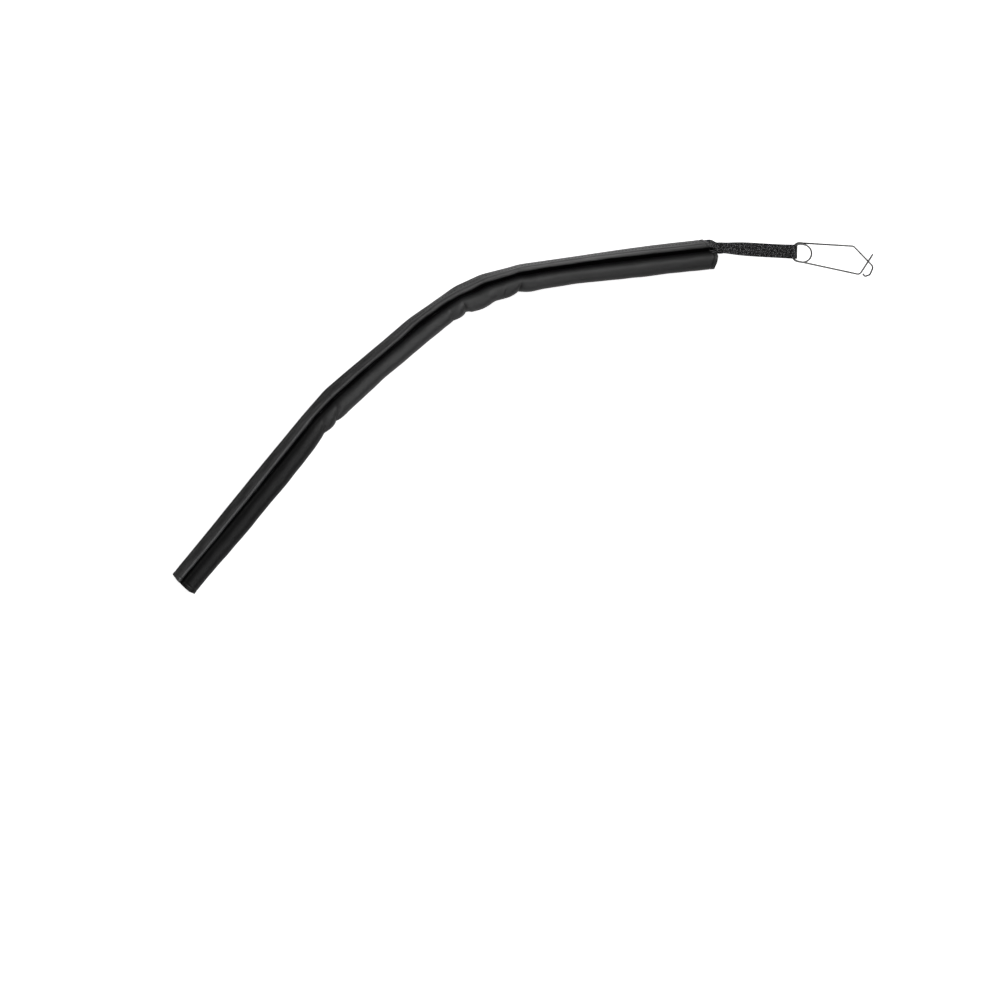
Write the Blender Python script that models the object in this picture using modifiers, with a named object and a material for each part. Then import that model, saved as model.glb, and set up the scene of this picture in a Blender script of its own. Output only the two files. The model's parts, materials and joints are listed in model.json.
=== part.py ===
"""Rope protector sleeve.

A coated fabric sheet is rolled into a long slim tube and lapped over on itself. A flap, folded over
along the sleeve's outer edge, closes it with hook and loop tape. A webbing strap sewn to one end holds
a sprung wire clip, whose crossed jaws keep the sleeve where it is put.

The sleeve lies on its flat back. It is bent at four creases, and the fold is on the outside of the bend.
"""

import math

import bmesh
import bpy
from mathutils import Matrix, Vector

MM = 0.001
UP = Vector((0, 0, 1))

# The panels between the creases, measured along the outer fold from the strap end
PANEL_1_LENGTH = 161.0 * MM
PANEL_2_LENGTH = 30.0 * MM
PANEL_3_LENGTH = 23.0 * MM
PANEL_4_LENGTH = 133.0 * MM
PANEL_5_LENGTH = 192.0 * MM
PANEL_LENGTHS = (PANEL_1_LENGTH, PANEL_2_LENGTH, PANEL_3_LENGTH, PANEL_4_LENGTH, PANEL_5_LENGTH)

# Directions seen from above, in degrees
MOUTH_HEADING = 7.9
CREASE_TURNS = (6.4, 10.5, 13.4, 12.2)
EXTRA_BEND = 8.0
CREASE_GAP = 0.3 * MM

# The sheet and its bore
BORE_RADIUS = 6.0 * MM
FABRIC_THICKNESS = 0.9 * MM
CLEARANCE = 0.3 * MM
FOLD_INSIDE_RADIUS = 1.0 * MM
CLOSURE_SLOPE = math.radians(50)
CLOSURE_WIDTH = 11.0 * MM
LIP_OVERHANG = 0.5 * MM
MOUTH_CHAMFER_LENGTH = 12.4 * MM
MOUTH_CHAMFER_DEPTH = 5.0 * MM

# Hook and loop tape
TAPE_THICKNESS = 0.5 * MM
TAPE_WIDTH = 9.4 * MM

# The strap: one length of webbing doubled round the clip, its sewn ends held under the flap
STRAP_WIDTH = 10.4 * MM
STRAP_PLY = 0.7 * MM
STRAP_PLY_GAP = 0.3 * MM
STRAP_LENGTH = 59.0 * MM
STRAP_HEADING = math.radians(-11.7)
STRAP_END_HEADING = math.radians(-16.5)
STRAP_START_HANDLE = 8.0 * MM
STRAP_END_HANDLE = 20.0 * MM
STRAP_FLEX = 45.0
STRAP_TAIL_LENGTH = 15.0 * MM
STRAP_TAIL_THICKNESS = 1.3 * MM
STRAP_DOWN_SLOPE = 3.17 * MM
STRAP_STANDOFF = 0.5 * MM
STRAP_EYE_RADIUS = 2.5 * MM
STRAP_EYE_TAPER = 8.0 * MM
BAR_TACK_LENGTH = 8.0 * MM
BAR_TACK_WIDTH = 2.0 * MM
BAR_TACK_THICKNESS = 0.4 * MM
BAR_TACK_INSET = 2.5 * MM

# The clip: one spring wire with a coil and a half, two arms and two hooked jaws
WIRE_DIAMETER = 1.2 * MM
COIL_RADIUS = 7.0 * MM
COIL_START_RADIUS = 8.2 * MM
COIL_PITCH = 1.7 * MM
COIL_SQUARENESS = 3.5
COIL_OFFSET = 7.3 * MM
CLIP_HEADING = math.radians(-18.8)
CLIP_HEIGHT = 13.3 * MM
CLIP_REACH = 57.0 * MM
CLIP_SPREAD = 13.4 * MM
WIRE_BEND_RADIUS = 3.5 * MM
UPPER_ARM_ANGLE = 97.9
LOWER_ARM_ANGLE = 629.0
SPRING_LEAST_GAP = 0.4 * MM

# Where the wire is bent, as shares of the clip's reach, its spread and its arm's height
UPPER_BEND_SHARES = (
    (0.68, 1.0, 1.0),
    (1.005, 0.03, 0.98),
    (0.985, -0.46, 0.7),
    (0.93, -0.58, 0.28),
    (0.9, -0.44, 0.075),
)
LOWER_BEND_SHARES = (
    (0.835, -0.6, 1.0),
    (0.962, 0.74, 0.985),
    (0.967, 0.71, 0.5),
    (0.955, 0.5, 0.065),
)
MOST_BEND_SHARE = 0.45

# How finely round stretches are divided
ROUND_STEPS = 18
LIP_STEPS = 4
BEND_STEPS = 4
COIL_STEP = 15.0
STRAP_STEPS = 14
EYE_STEPS = 10
CUT_OVERRUN = 5.0 * MM
WELD_DISTANCE = 0.003 * MM
SHARP_ANGLE = math.radians(35)

# The stack of layers on the closure's slope, as distances from the tube's centre
TUBE_RADIUS = BORE_RADIUS + FABRIC_THICKNESS
LOOP_TAPE_INNER = TUBE_RADIUS + CLEARANCE
LOOP_TAPE_OUTER = LOOP_TAPE_INNER + TAPE_THICKNESS
HOOK_TAPE_INNER = LOOP_TAPE_OUTER + CLEARANCE
HOOK_TAPE_OUTER = HOOK_TAPE_INNER + TAPE_THICKNESS
FLAP_INNER = HOOK_TAPE_OUTER + CLEARANCE
FLAP_OUTER = FLAP_INNER + FABRIC_THICKNESS
STACK_MIDDLE = (TUBE_RADIUS + FLAP_INNER) / 2

# The fold: a round edge that rests on the ground, and that the flap turns on. It reaches twice its radius
# in from the outer edge when the flap is peeled, so the flap's ends are square that far in.
FOLD_RADIUS = FOLD_INSIDE_RADIUS + FABRIC_THICKNESS
FOLD_OFFSET = FLAP_OUTER - FOLD_RADIUS
FOLD_DOWN = (TUBE_RADIUS + FOLD_OFFSET * math.cos(CLOSURE_SLOPE) - FOLD_RADIUS) / math.sin(CLOSURE_SLOPE)
FOLD_ACROSS = FOLD_OFFSET * math.sin(CLOSURE_SLOPE) + FOLD_DOWN * math.cos(CLOSURE_SLOPE)
TUBE_Y = -(FOLD_ACROSS + FOLD_RADIUS)
TUBE_Z = TUBE_RADIUS
FOLD_Y = -FOLD_RADIUS
FOLD_Z = FOLD_RADIUS
SLEEVE_WIDTH = TUBE_RADIUS - TUBE_Y
FLAP_SQUARE_DEPTH = 2 * FOLD_RADIUS
BACK_END_Y = FOLD_Y - FOLD_RADIUS - CLEARANCE
SLOPE_ANGLE = math.pi / 2 - CLOSURE_SLOPE

STRAP_HALF_THICKNESS = STRAP_PLY + STRAP_PLY_GAP / 2
STRAP_PLY_OFFSET = (STRAP_PLY + STRAP_PLY_GAP) / 2
STRAP_EYE_OFFSET = STRAP_EYE_RADIUS + STRAP_PLY / 2
STRAP_TAIL_END = STRAP_STANDOFF - STRAP_HALF_THICKNESS * math.sin(math.radians(STRAP_FLEX)) - CLEARANCE / 2


def clear_scene():
    for old in list(bpy.data.objects):
        bpy.data.objects.remove(old, do_unlink=True)


def make_collection(name):
    made = bpy.data.collections.new(name)
    bpy.context.scene.collection.children.link(made)
    return made


def make_material(name, colour, roughness, metallic=0.0):
    made = bpy.data.materials.new(name)
    made.use_nodes = True
    shader = made.node_tree.nodes["Principled BSDF"]
    shader.inputs["Base Color"].default_value = (*colour, 1.0)
    shader.inputs["Roughness"].default_value = roughness
    shader.inputs["Metallic"].default_value = metallic
    return made


def make_axis(name, parent=None, place=(0, 0, 0), turn=0.0):
    """An empty whose origin stands on a joint's axis."""
    axis = bpy.data.objects.new(name, None)
    axis.empty_display_size = FOLD_RADIUS
    axis.location = place
    axis.rotation_euler = (0, 0, turn)
    axis.parent = parent
    parts.objects.link(axis)
    return axis


def add_piece(name, mesh, material, parent, origin=(0, 0, 0)):
    """One named piece, whose mesh is given in its parent's frame and whose origin is moved to a point there."""
    mesh.transform(Matrix.Translation(-Vector(origin)))
    mesh.shade_smooth()
    mesh.set_sharp_from_angle(angle=SHARP_ANGLE)
    mesh.materials.append(material)
    piece = bpy.data.objects.new(name, mesh)
    piece.location = origin
    piece.parent = parent
    parts.objects.link(piece)
    return piece


def mesh_of_curve(name, curve):
    """The mesh that a curve makes, with its caps welded on."""
    drawn = bpy.data.objects.new(name + "_curve", curve)
    parts.objects.link(drawn)
    bpy.context.view_layer.update()
    evaluated = drawn.evaluated_get(bpy.context.evaluated_depsgraph_get())
    mesh = bpy.data.meshes.new_from_object(evaluated)
    bpy.data.objects.remove(drawn, do_unlink=True)
    shape = bmesh.new()
    shape.from_mesh(mesh)
    bmesh.ops.remove_doubles(shape, verts=shape.verts, dist=WELD_DISTANCE)
    bmesh.ops.recalc_face_normals(shape, faces=shape.faces)
    shape.to_mesh(mesh)
    shape.free()
    mesh.name = name
    return mesh


def outline_mesh(name, outline, low, high, frame):
    """A flat outline drawn out from low to high along the frame's third axis."""
    curve = bpy.data.curves.new(name, "CURVE")
    curve.dimensions = "2D"
    curve.fill_mode = "BOTH"
    curve.extrude = (high - low) / 2
    line = curve.splines.new("POLY")
    line.points.add(len(outline) - 1)
    for point, (across, along) in zip(line.points, outline):
        point.co = (across, along, 0, 1)
    line.use_cyclic_u = True
    mesh = mesh_of_curve(name, curve)
    mesh.transform(frame @ Matrix.Translation((0, 0, (low + high) / 2)))
    return mesh


# A cross-section is drawn across and up, and drawn out along the sleeve. A plan is drawn out upwards.
ALONG_SLEEVE = Matrix(((0, 0, 1, 0), (1, 0, 0, 0), (0, 1, 0, 0), (0, 0, 0, 1)))
UPWARDS = Matrix.Identity(4)


def slope_point(offset, down):
    """A point of the cross-section, by its distance from the tube's centre and how far down the slope it is."""
    across = offset * math.sin(CLOSURE_SLOPE) + down * math.cos(CLOSURE_SLOPE)
    rise = offset * math.cos(CLOSURE_SLOPE) - down * math.sin(CLOSURE_SLOPE)
    return TUBE_Y + across, TUBE_Z + rise


def arc(centre, radius, start, end, steps):
    """Points along an arc, from one angle to another."""
    angles = [start + (end - start) * i / steps for i in range(steps + 1)]
    return [(centre[0] + radius * math.cos(a), centre[1] + radius * math.sin(a)) for a in angles]


def sheet_outline():
    """The back layer, the round wall of the tube and the tongue that runs down the slope under the flap."""
    centre = (TUBE_Y, TUBE_Z)
    over_the_top = SLOPE_ANGLE - math.tau
    outside = arc(centre, TUBE_RADIUS, -math.pi / 2, over_the_top, ROUND_STEPS)
    inside = arc(centre, BORE_RADIUS, over_the_top, -math.pi / 2, ROUND_STEPS)
    tongue = [slope_point(TUBE_RADIUS, CLOSURE_WIDTH), slope_point(BORE_RADIUS, CLOSURE_WIDTH)]
    return [(BACK_END_Y, 0), *outside, *tongue, *inside, (BACK_END_Y, FABRIC_THICKNESS)]


def flap_outline():
    """The flap, from its rounded lip down to the round fold that it turns on."""
    lip = slope_point((FLAP_INNER + FLAP_OUTER) / 2, FABRIC_THICKNESS / 2 - LIP_OVERHANG)
    lip_round = arc(lip, FABRIC_THICKNESS / 2, SLOPE_ANGLE, SLOPE_ANGLE + math.pi, LIP_STEPS)
    meets = SLOPE_ANGLE + math.acos(FOLD_INSIDE_RADIUS / FOLD_RADIUS)
    fold_round = arc((FOLD_Y, FOLD_Z), FOLD_RADIUS, meets, SLOPE_ANGLE + math.tau, ROUND_STEPS)
    return [*lip_round, *fold_round]


def slab_outline(inner, outer, top, bottom):
    """A flat layer on the slope."""
    return [slope_point(inner, top), slope_point(outer, top), slope_point(outer, bottom), slope_point(inner, bottom)]


def panel_plan(number, square_depth):
    """A panel seen from above. Its creased ends are cut back towards the belly, so that it can bend further.

    They stay square from the outer edge in to square_depth, and start as far back as they are cut there.
    """
    length = PANEL_LENGTHS[number]
    depth = SLEEVE_WIDTH + CUT_OVERRUN
    right, left, right_inner, left_inner = 0.0, -length, 0.0, -length
    if number > 0:
        lean = math.tan(math.radians(CREASE_TURNS[number - 1] + EXTRA_BEND) / 2)
        right = -CREASE_GAP / 2 - square_depth * lean
        right_inner = -CREASE_GAP / 2 - depth * lean
    if number < len(CREASE_TURNS):
        lean = math.tan(math.radians(CREASE_TURNS[number] + EXTRA_BEND) / 2)
        left = -length + CREASE_GAP / 2 + square_depth * lean
        left_inner = -length + CREASE_GAP / 2 + depth * lean
    outer_right = [(right, CUT_OVERRUN), (right, -square_depth)]
    if number == 0:
        steepness = MOUTH_CHAMFER_LENGTH / MOUTH_CHAMFER_DEPTH
        outer_right = [(-MOUTH_CHAMFER_LENGTH - CUT_OVERRUN * steepness, CUT_OVERRUN), (0, -MOUTH_CHAMFER_DEPTH)]
    outer_left = [(left, -square_depth), (left, CUT_OVERRUN)]
    return [*outer_right, (right_inner, -depth), (left_inner, -depth), *outer_left]


def make_block(name, outline, crease):
    """A block that a panel's layers are trimmed to, drawn out upwards from its plan."""
    mesh = outline_mesh(name, outline, -CUT_OVERRUN, 2 * FLAP_OUTER, UPWARDS)
    block = bpy.data.objects.new(name, mesh)
    block.parent = crease
    block.hide_render = True
    block.display_type = "WIRE"
    cutters.objects.link(block)
    return block


def trim(piece, block):
    """Keep what lies inside the panel's plan."""
    cut = piece.modifiers.new("panel ends", "BOOLEAN")
    cut.operation = "INTERSECT"
    cut.solver = "EXACT"
    cut.object = block


def make_panel(number, crease):
    """The sheet, flap and tapes of one panel, on the axis of the crease that it bends at."""
    label = str(number + 1)
    length = PANEL_LENGTHS[number]
    panel_block = make_block("panel_plan_" + label, panel_plan(number, 0), crease)
    flap_block = make_block("flap_plan_" + label, panel_plan(number, FLAP_SQUARE_DEPTH), crease)

    tape_top = (CLOSURE_WIDTH - TAPE_WIDTH) / 2
    tape_end = CUT_OVERRUN
    if number == 0:
        tape_end = -STRAP_TAIL_LENGTH - CLEARANCE
    loop_tape = slab_outline(LOOP_TAPE_INNER, LOOP_TAPE_OUTER, tape_top, tape_top + TAPE_WIDTH)
    hook_tape = slab_outline(HOOK_TAPE_INNER, HOOK_TAPE_OUTER, tape_top, tape_top + TAPE_WIDTH)
    fold = (0, FOLD_Y, FOLD_Z)
    layers = (
        ("sleeve_sheet_", sheet_outline(), CUT_OVERRUN, coated_fabric, (0, 0, 0), panel_block),
        ("closure_flap_", flap_outline(), CUT_OVERRUN, coated_fabric, fold, flap_block),
        ("loop_tape_", loop_tape, tape_end, loop_pile, (0, 0, 0), panel_block),
        ("hook_tape_", hook_tape, tape_end, hook_weave, fold, panel_block),
    )
    for name, outline, end, material, origin, block in layers:
        mesh = outline_mesh(name + label, outline, -length - CUT_OVERRUN, end, ALONG_SLEEVE)
        trim(add_piece(name + label, mesh, material.copy(), crease, origin), block)


def make_sleeve(mouth):
    """The panels, each bent at its crease from the one before. A crease's axis stands on the outer fold."""
    crease = mouth
    make_panel(0, crease)
    for number, turn in enumerate(CREASE_TURNS, start=1):
        place = (-PANEL_LENGTHS[number - 1], 0, 0)
        crease = make_axis("crease_" + str(number), crease, place, math.radians(turn))
        make_panel(number, crease)


def smooth_step(share):
    return share * share * (3 - 2 * share)


def bezier(points, share):
    """A point on a cubic curve, and the curve's direction there."""
    a, b, c, d = points
    rest = 1 - share
    place = a * rest**3 + b * 3 * rest**2 * share + c * 3 * rest * share**2 + d * share**3
    slope = (b - a) * rest**2 + (c - b) * 2 * rest * share + (d - c) * share**2
    return place, slope.normalized()


def heading_vector(angle):
    return Vector((math.cos(angle), math.sin(angle), 0))


def strap_eye_height():
    """The middle of the two turns of wire that pass through the strap's eye."""
    return CLIP_HEIGHT + (coil_rise(180.0) + coil_rise(540.0)) / 2


def strap_start():
    """The middle of the strap where it leaves the sleeve's mouth."""
    return Vector((STRAP_STANDOFF, *slope_point(STACK_MIDDLE, STRAP_DOWN_SLOPE)))


def strap_eye():
    """The middle of the strap's eye, which is the axis that the clip swings on."""
    eye = strap_start() + heading_vector(STRAP_HEADING) * STRAP_LENGTH
    eye.z = strap_eye_height()
    return eye


def strap_frame(share):
    """The strap's middle, its direction, its width's direction and its normal, at a share of its length."""
    start, eye = strap_start(), strap_eye()
    into = start + heading_vector(0) * STRAP_START_HANDLE
    out = eye - heading_vector(STRAP_END_HEADING) * STRAP_END_HANDLE
    place, along = bezier((start, into, out, eye), share)
    tilt = CLOSURE_SLOPE * (1 - smooth_step(share))
    level = UP.cross(along).normalized()
    normal_up = along.cross(level)
    width = level * math.cos(tilt) - normal_up * math.sin(tilt)
    return place, along, width, along.cross(width)


def strap_run():
    """The strap from the mouth to the eye, as (middle, width, normal, half the plies' distance)."""
    run = []
    for step in range(STRAP_STEPS + 1):
        share = step / STRAP_STEPS
        place, along, width, normal = strap_frame(share)
        near_eye = max(0.0, 1 - (1 - share) * STRAP_LENGTH / STRAP_EYE_TAPER)
        spread = STRAP_PLY_OFFSET + (STRAP_EYE_OFFSET - STRAP_PLY_OFFSET) * smooth_step(near_eye)
        run.append((place, width, normal, spread))
    return run


def ribbon_mesh(name, stations, width):
    """A band of constant width through (middle, width's direction) stations."""
    shape = bmesh.new()
    rows = []
    for middle, across in stations:
        edge = across * width / 2
        rows.append((shape.verts.new(middle - edge), shape.verts.new(middle + edge)))
    for (a, b), (c, d) in zip(rows, rows[1:]):
        shape.faces.new((a, c, d, b))
    mesh = bpy.data.meshes.new(name)
    shape.to_mesh(mesh)
    shape.free()
    return mesh


def give_thickness(piece, thickness):
    wall = piece.modifiers.new("thickness", "SOLIDIFY")
    wall.thickness = thickness
    wall.offset = 0
    wall.use_even_offset = True


def make_strap(mouth):
    """The sewn tail under the flap, the doubled strap with its eye, and the bar tack over both plies."""
    top = STRAP_DOWN_SLOPE - STRAP_WIDTH / 2
    half = STRAP_TAIL_THICKNESS / 2
    tail = slab_outline(STACK_MIDDLE - half, STACK_MIDDLE + half, top, top + STRAP_WIDTH)
    tail_mesh = outline_mesh("strap_tail", tail, -STRAP_TAIL_LENGTH, STRAP_TAIL_END, ALONG_SLEEVE)
    add_piece("strap_tail", tail_mesh, webbing.copy(), mouth)

    run = strap_run()
    eye, along, width, normal = strap_frame(1.0)
    upper = [(place + normal * spread, width) for place, width, normal, spread in run]
    lower = [(place - normal * spread, width) for place, width, normal, spread in reversed(run)]
    turn = []
    for step in range(1, EYE_STEPS):
        angle = math.pi / 2 - math.pi * step / EYE_STEPS
        offset = along * math.cos(angle) + normal * math.sin(angle)
        turn.append((eye + offset * STRAP_EYE_OFFSET, width))
    hinge = make_axis("strap_hinge", mouth, strap_start())
    mesh = ribbon_mesh("strap", [*upper, *turn, *lower], STRAP_WIDTH)
    mesh.transform(Matrix.Translation(-strap_start()))
    give_thickness(add_piece("strap", mesh, webbing.copy(), hinge), STRAP_PLY)

    middle = BAR_TACK_INSET + BAR_TACK_WIDTH / 2
    stations = []
    for reach in (BAR_TACK_INSET, middle, BAR_TACK_INSET + BAR_TACK_WIDTH):
        place, along, width, normal = strap_frame(reach / STRAP_LENGTH)
        lift = STRAP_HALF_THICKNESS + CLEARANCE + BAR_TACK_THICKNESS / 2
        stations.append((place + normal * lift - strap_start(), width))
    tack = ribbon_mesh("bar_tack", stations, BAR_TACK_LENGTH)
    give_thickness(add_piece("bar_tack", tack, thread.copy(), hinge), BAR_TACK_THICKNESS)
    return hinge


def coil_rise(angle):
    """How far the wire has climbed when it has turned to an angle, in degrees."""
    return COIL_PITCH * (angle - UPPER_ARM_ANGLE) / 360.0


def coil_point(angle):
    """The coil is round on the jaws' side and squarer where it lies in the strap's eye."""
    shrunk = min(1.0, (angle - UPPER_ARM_ANGLE) / 180.0)
    radius = COIL_START_RADIUS + (COIL_RADIUS - COIL_START_RADIUS) * smooth_step(shrunk)
    x, y = math.cos(math.radians(angle)), math.sin(math.radians(angle))
    if x < 0:
        radius /= (abs(x) ** COIL_SQUARENESS + abs(y) ** COIL_SQUARENESS) ** (1 / COIL_SQUARENESS)
    return Vector((x * radius, y * radius, CLIP_HEIGHT + coil_rise(angle)))


def bent_wire(corners):
    """Straight runs between corners, with each inner corner rounded."""
    points = [corners[0]]
    for before, corner, after in zip(corners, corners[1:], corners[2:]):
        back, on = before - corner, after - corner
        half = back.angle(on) / 2
        reach = min(WIRE_BEND_RADIUS / math.tan(half), MOST_BEND_SHARE * min(back.length, on.length))
        start, end = corner + back.normalized() * reach, corner + on.normalized() * reach
        for step in range(BEND_STEPS + 1):
            share = step / BEND_STEPS
            points.append(start * (1 - share) ** 2 + corner * 2 * share * (1 - share) + end * share**2)
    points.append(corners[-1])
    return points


def arm_corners(start, shares):
    """An arm's corners, with its heights as shares of the height at which it leaves the coil."""
    corners = [start]
    for reach, spread, height in shares:
        corners.append(Vector((reach * CLIP_REACH, spread * CLIP_SPREAD, height * start.z)))
    return corners


def wire_mesh(name, points):
    curve = bpy.data.curves.new(name, "CURVE")
    curve.dimensions = "3D"
    curve.bevel_depth = WIRE_DIAMETER / 2
    curve.bevel_resolution = 2
    curve.use_fill_caps = True
    line = curve.splines.new("POLY")
    line.points.add(len(points) - 1)
    for point, place in zip(line.points, points):
        point.co = (*place, 1)
    return mesh_of_curve(name, curve)


def least_gap(points):
    """The least gap between stretches of the wire that are half a turn or more apart."""
    apart = int(180.0 / COIL_STEP)
    pairs = [(a, b) for i, a in enumerate(points) for b in points[i + apart :]]
    return min((a - b).length for a, b in pairs) - WIRE_DIAMETER


def make_clip(strap_hinge):
    """The lower arm with the coil, which swings in the strap's eye, and the upper arm, which is squeezed to it."""
    swing = make_axis("clip_swing", strap_hinge, strap_eye() - strap_start(), CLIP_HEADING)
    squeeze = make_axis("clip_squeeze", swing, (COIL_OFFSET, 0, -strap_eye_height()))

    parting = math.degrees(CLEARANCE / COIL_START_RADIUS)
    first = UPPER_ARM_ANGLE + parting
    count = round((LOWER_ARM_ANGLE - first) / COIL_STEP)
    turned = [first + (LOWER_ARM_ANGLE - first) * i / count for i in range(count + 1)]
    coil = [coil_point(angle) for angle in turned]
    gap = least_gap(coil)
    print("coil's least gap to itself:", round(gap / MM, 3), "mm, wanted over", SPRING_LEAST_GAP / MM)
    lower_arm = bent_wire(arm_corners(coil[-1], LOWER_BEND_SHARES))
    lower = wire_mesh("clip_coil_and_lower_arm", [*coil, *lower_arm[1:]])
    add_piece("clip_coil_and_lower_arm", lower, spring_steel.copy(), squeeze)

    upper_arm = bent_wire(arm_corners(coil_point(UPPER_ARM_ANGLE), UPPER_BEND_SHARES))
    upper = wire_mesh("clip_upper_arm", upper_arm)
    add_piece("clip_upper_arm", upper, spring_steel.copy(), squeeze)


def centre_on_origin(mouth):
    """Move the whole sleeve so that the middle of its base is at the origin."""
    bpy.context.view_layer.update()
    depsgraph = bpy.context.evaluated_depsgraph_get()
    low = Vector((math.inf, math.inf, math.inf))
    high = -low
    for piece in parts.objects:
        if piece.type != "MESH":
            continue
        evaluated = piece.evaluated_get(depsgraph)
        for vertex in evaluated.data.vertices:
            place = evaluated.matrix_world @ vertex.co
            low = Vector(map(min, low, place))
            high = Vector(map(max, high, place))
    mouth.location = -Vector(((low.x + high.x) / 2, (low.y + high.y) / 2, low.z))
    size = high - low
    print("size in mm:", [round(side / MM, 1) for side in size])


clear_scene()
parts = make_collection("rope_protector_sleeve")
cutters = make_collection("cutters")
coated_fabric = make_material("coated_fabric", (0.012, 0.012, 0.013), 0.42)
loop_pile = make_material("loop_pile", (0.014, 0.014, 0.015), 0.95)
hook_weave = make_material("hook_weave", (0.018, 0.018, 0.02), 0.7)
webbing = make_material("webbing", (0.016, 0.016, 0.018), 0.8)
thread = make_material("thread", (0.05, 0.05, 0.052), 0.6)
spring_steel = make_material("spring_steel", (0.55, 0.55, 0.54), 0.28, 1.0)

sleeve_mouth = make_axis("sleeve_mouth", turn=math.radians(MOUTH_HEADING))
make_sleeve(sleeve_mouth)
make_clip(make_strap(sleeve_mouth))
centre_on_origin(sleeve_mouth)
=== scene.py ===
# %% [markdown]
# # A rope protector sleeve
#
# This climber's tool is a sheet of black coated fabric, closed into a long slim sleeve. The sheet's long
# edge folds over as a flap and closes with hook and loop tape. At one end a short webbing strap holds a
# clip bent from a single spring wire. We build its looks round a fixed frame of plain solids, which already
# know how the sleeve bends, how the flap peels and how the clip swings.

# %% Load the frame
import json
import math

import bpy
import numpy as np
from mathutils import Matrix, Vector


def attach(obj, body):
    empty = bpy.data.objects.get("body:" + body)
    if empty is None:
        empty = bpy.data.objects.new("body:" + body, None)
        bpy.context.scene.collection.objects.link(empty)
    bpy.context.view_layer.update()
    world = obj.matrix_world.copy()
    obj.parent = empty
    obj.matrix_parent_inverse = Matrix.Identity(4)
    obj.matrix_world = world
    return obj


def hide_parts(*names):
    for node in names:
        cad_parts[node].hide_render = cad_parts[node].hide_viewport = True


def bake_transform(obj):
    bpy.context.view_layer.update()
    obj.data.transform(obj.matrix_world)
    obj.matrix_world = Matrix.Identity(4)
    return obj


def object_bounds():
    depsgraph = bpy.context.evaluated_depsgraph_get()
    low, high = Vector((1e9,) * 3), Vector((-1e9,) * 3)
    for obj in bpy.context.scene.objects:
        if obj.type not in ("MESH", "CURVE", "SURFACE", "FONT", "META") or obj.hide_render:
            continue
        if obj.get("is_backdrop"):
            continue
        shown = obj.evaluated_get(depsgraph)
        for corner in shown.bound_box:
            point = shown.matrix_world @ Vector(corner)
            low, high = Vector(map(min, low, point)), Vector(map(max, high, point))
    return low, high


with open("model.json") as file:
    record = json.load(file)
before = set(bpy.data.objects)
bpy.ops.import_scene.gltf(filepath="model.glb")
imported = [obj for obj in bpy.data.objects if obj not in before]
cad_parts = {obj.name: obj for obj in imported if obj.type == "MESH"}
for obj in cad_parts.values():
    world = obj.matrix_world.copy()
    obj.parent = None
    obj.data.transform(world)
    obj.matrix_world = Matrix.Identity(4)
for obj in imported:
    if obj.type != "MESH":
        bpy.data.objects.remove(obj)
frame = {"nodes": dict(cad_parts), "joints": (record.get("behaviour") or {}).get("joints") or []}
cad_box = [list(corner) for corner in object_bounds()]
bpy.ops.object.select_all(action="DESELECT")

# %% [markdown]
# All lengths are in metres, so a millimetre gets a name. The measured sizes below are those of the plain
# solids: the sleeve's tube is 13.8 mm across outside, and its outer edge is a round fold of 1.9 mm radius.

# %% Sizes shared by all pieces
MM = 0.001
FOLD_RADIUS = 1.9 * MM
TUBE_RADIUS = 6.9 * MM
SLEEVE_WIDTH = 23.2 * MM
SHEET_THICKNESS = 0.7 * MM
FLAP_THICKNESS = 0.8 * MM
UP = Vector((0, 0, 1))


def smooth(share):
    """An S-shaped step from 0 to 1."""
    share = np.clip(share, 0.0, 1.0)
    return share * share * (3 - 2 * share)


# %% [markdown]
# The photograph looks straight down. A long lens far away shows hardly any perspective, which keeps the
# thin bent sleeve true to its plan, so the camera stands three metres above with a 135 mm lens.

# %% Camera
CAMERA_HEIGHT = 3.0
CAMERA_PLACE = (-17.28 * MM, -66.76 * MM)
LENS = 135.0
SENSOR_WIDTH = 36.0

camera_data = bpy.data.cameras.new("camera")
camera_data.lens = LENS
camera_data.sensor_width = SENSOR_WIDTH
camera = bpy.data.objects.new("camera", camera_data)
camera.location = (*CAMERA_PLACE, CAMERA_HEIGHT)
bpy.context.scene.collection.objects.link(camera)
bpy.context.scene.camera = camera
print("the view is", round(CAMERA_HEIGHT * SENSOR_WIDTH / LENS, 3), "m wide")

# %% [markdown]
# Black cloth shows its shape only through what it reflects. So the light is a few soft boxes all round: the
# key is low at the right, behind the strap, a large one hangs overhead, and weaker ones at the right, the
# back and the front draw the edges. Each is placed by its direction and its height above the floor, as
# angles.

# %% Lights
LIGHT_DISTANCE = 1.5
LIGHT_SIZE = (0.7, 0.5)
SOFTBOXES = (
    ("key", 34, 25, 8.7), ("right", 0, 55, 1.5), ("back_right", 66, 55, 3.3), ("back_low", 98, 25, 0.9),
    ("back_high", 98, 55, 1.8), ("front_low", 278, 25, 1.6), ("front_high", 278, 55, 2.1),
)
OVERHEAD_SIZE = (1.4, 1.4)
OVERHEAD_HEIGHT = 2.0
OVERHEAD_POWER = 5.7


def add_softbox(name, place, size, power):
    """An area light at a place, facing the object's middle."""
    data = bpy.data.lights.new(name, "AREA")
    data.shape = "RECTANGLE"
    data.size, data.size_y = size
    data.energy = power
    lamp = bpy.data.objects.new(name, data)
    lamp.location = place
    lamp.rotation_euler = (-place).to_track_quat("-Z", "Y").to_euler()
    bpy.context.scene.collection.objects.link(lamp)
    return lamp


for name, direction, height, power in SOFTBOXES:
    turn, rise = math.radians(direction), math.radians(height)
    towards = Vector((math.cos(turn) * math.cos(rise), math.sin(turn) * math.cos(rise), math.sin(rise)))
    add_softbox(name + "_softbox", towards * LIGHT_DISTANCE, LIGHT_SIZE, power)
add_softbox("overhead_softbox", Vector((0, 0, OVERHEAD_HEIGHT)), OVERHEAD_SIZE, OVERHEAD_POWER)
print(len(SOFTBOXES) + 1, "soft boxes")

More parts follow.
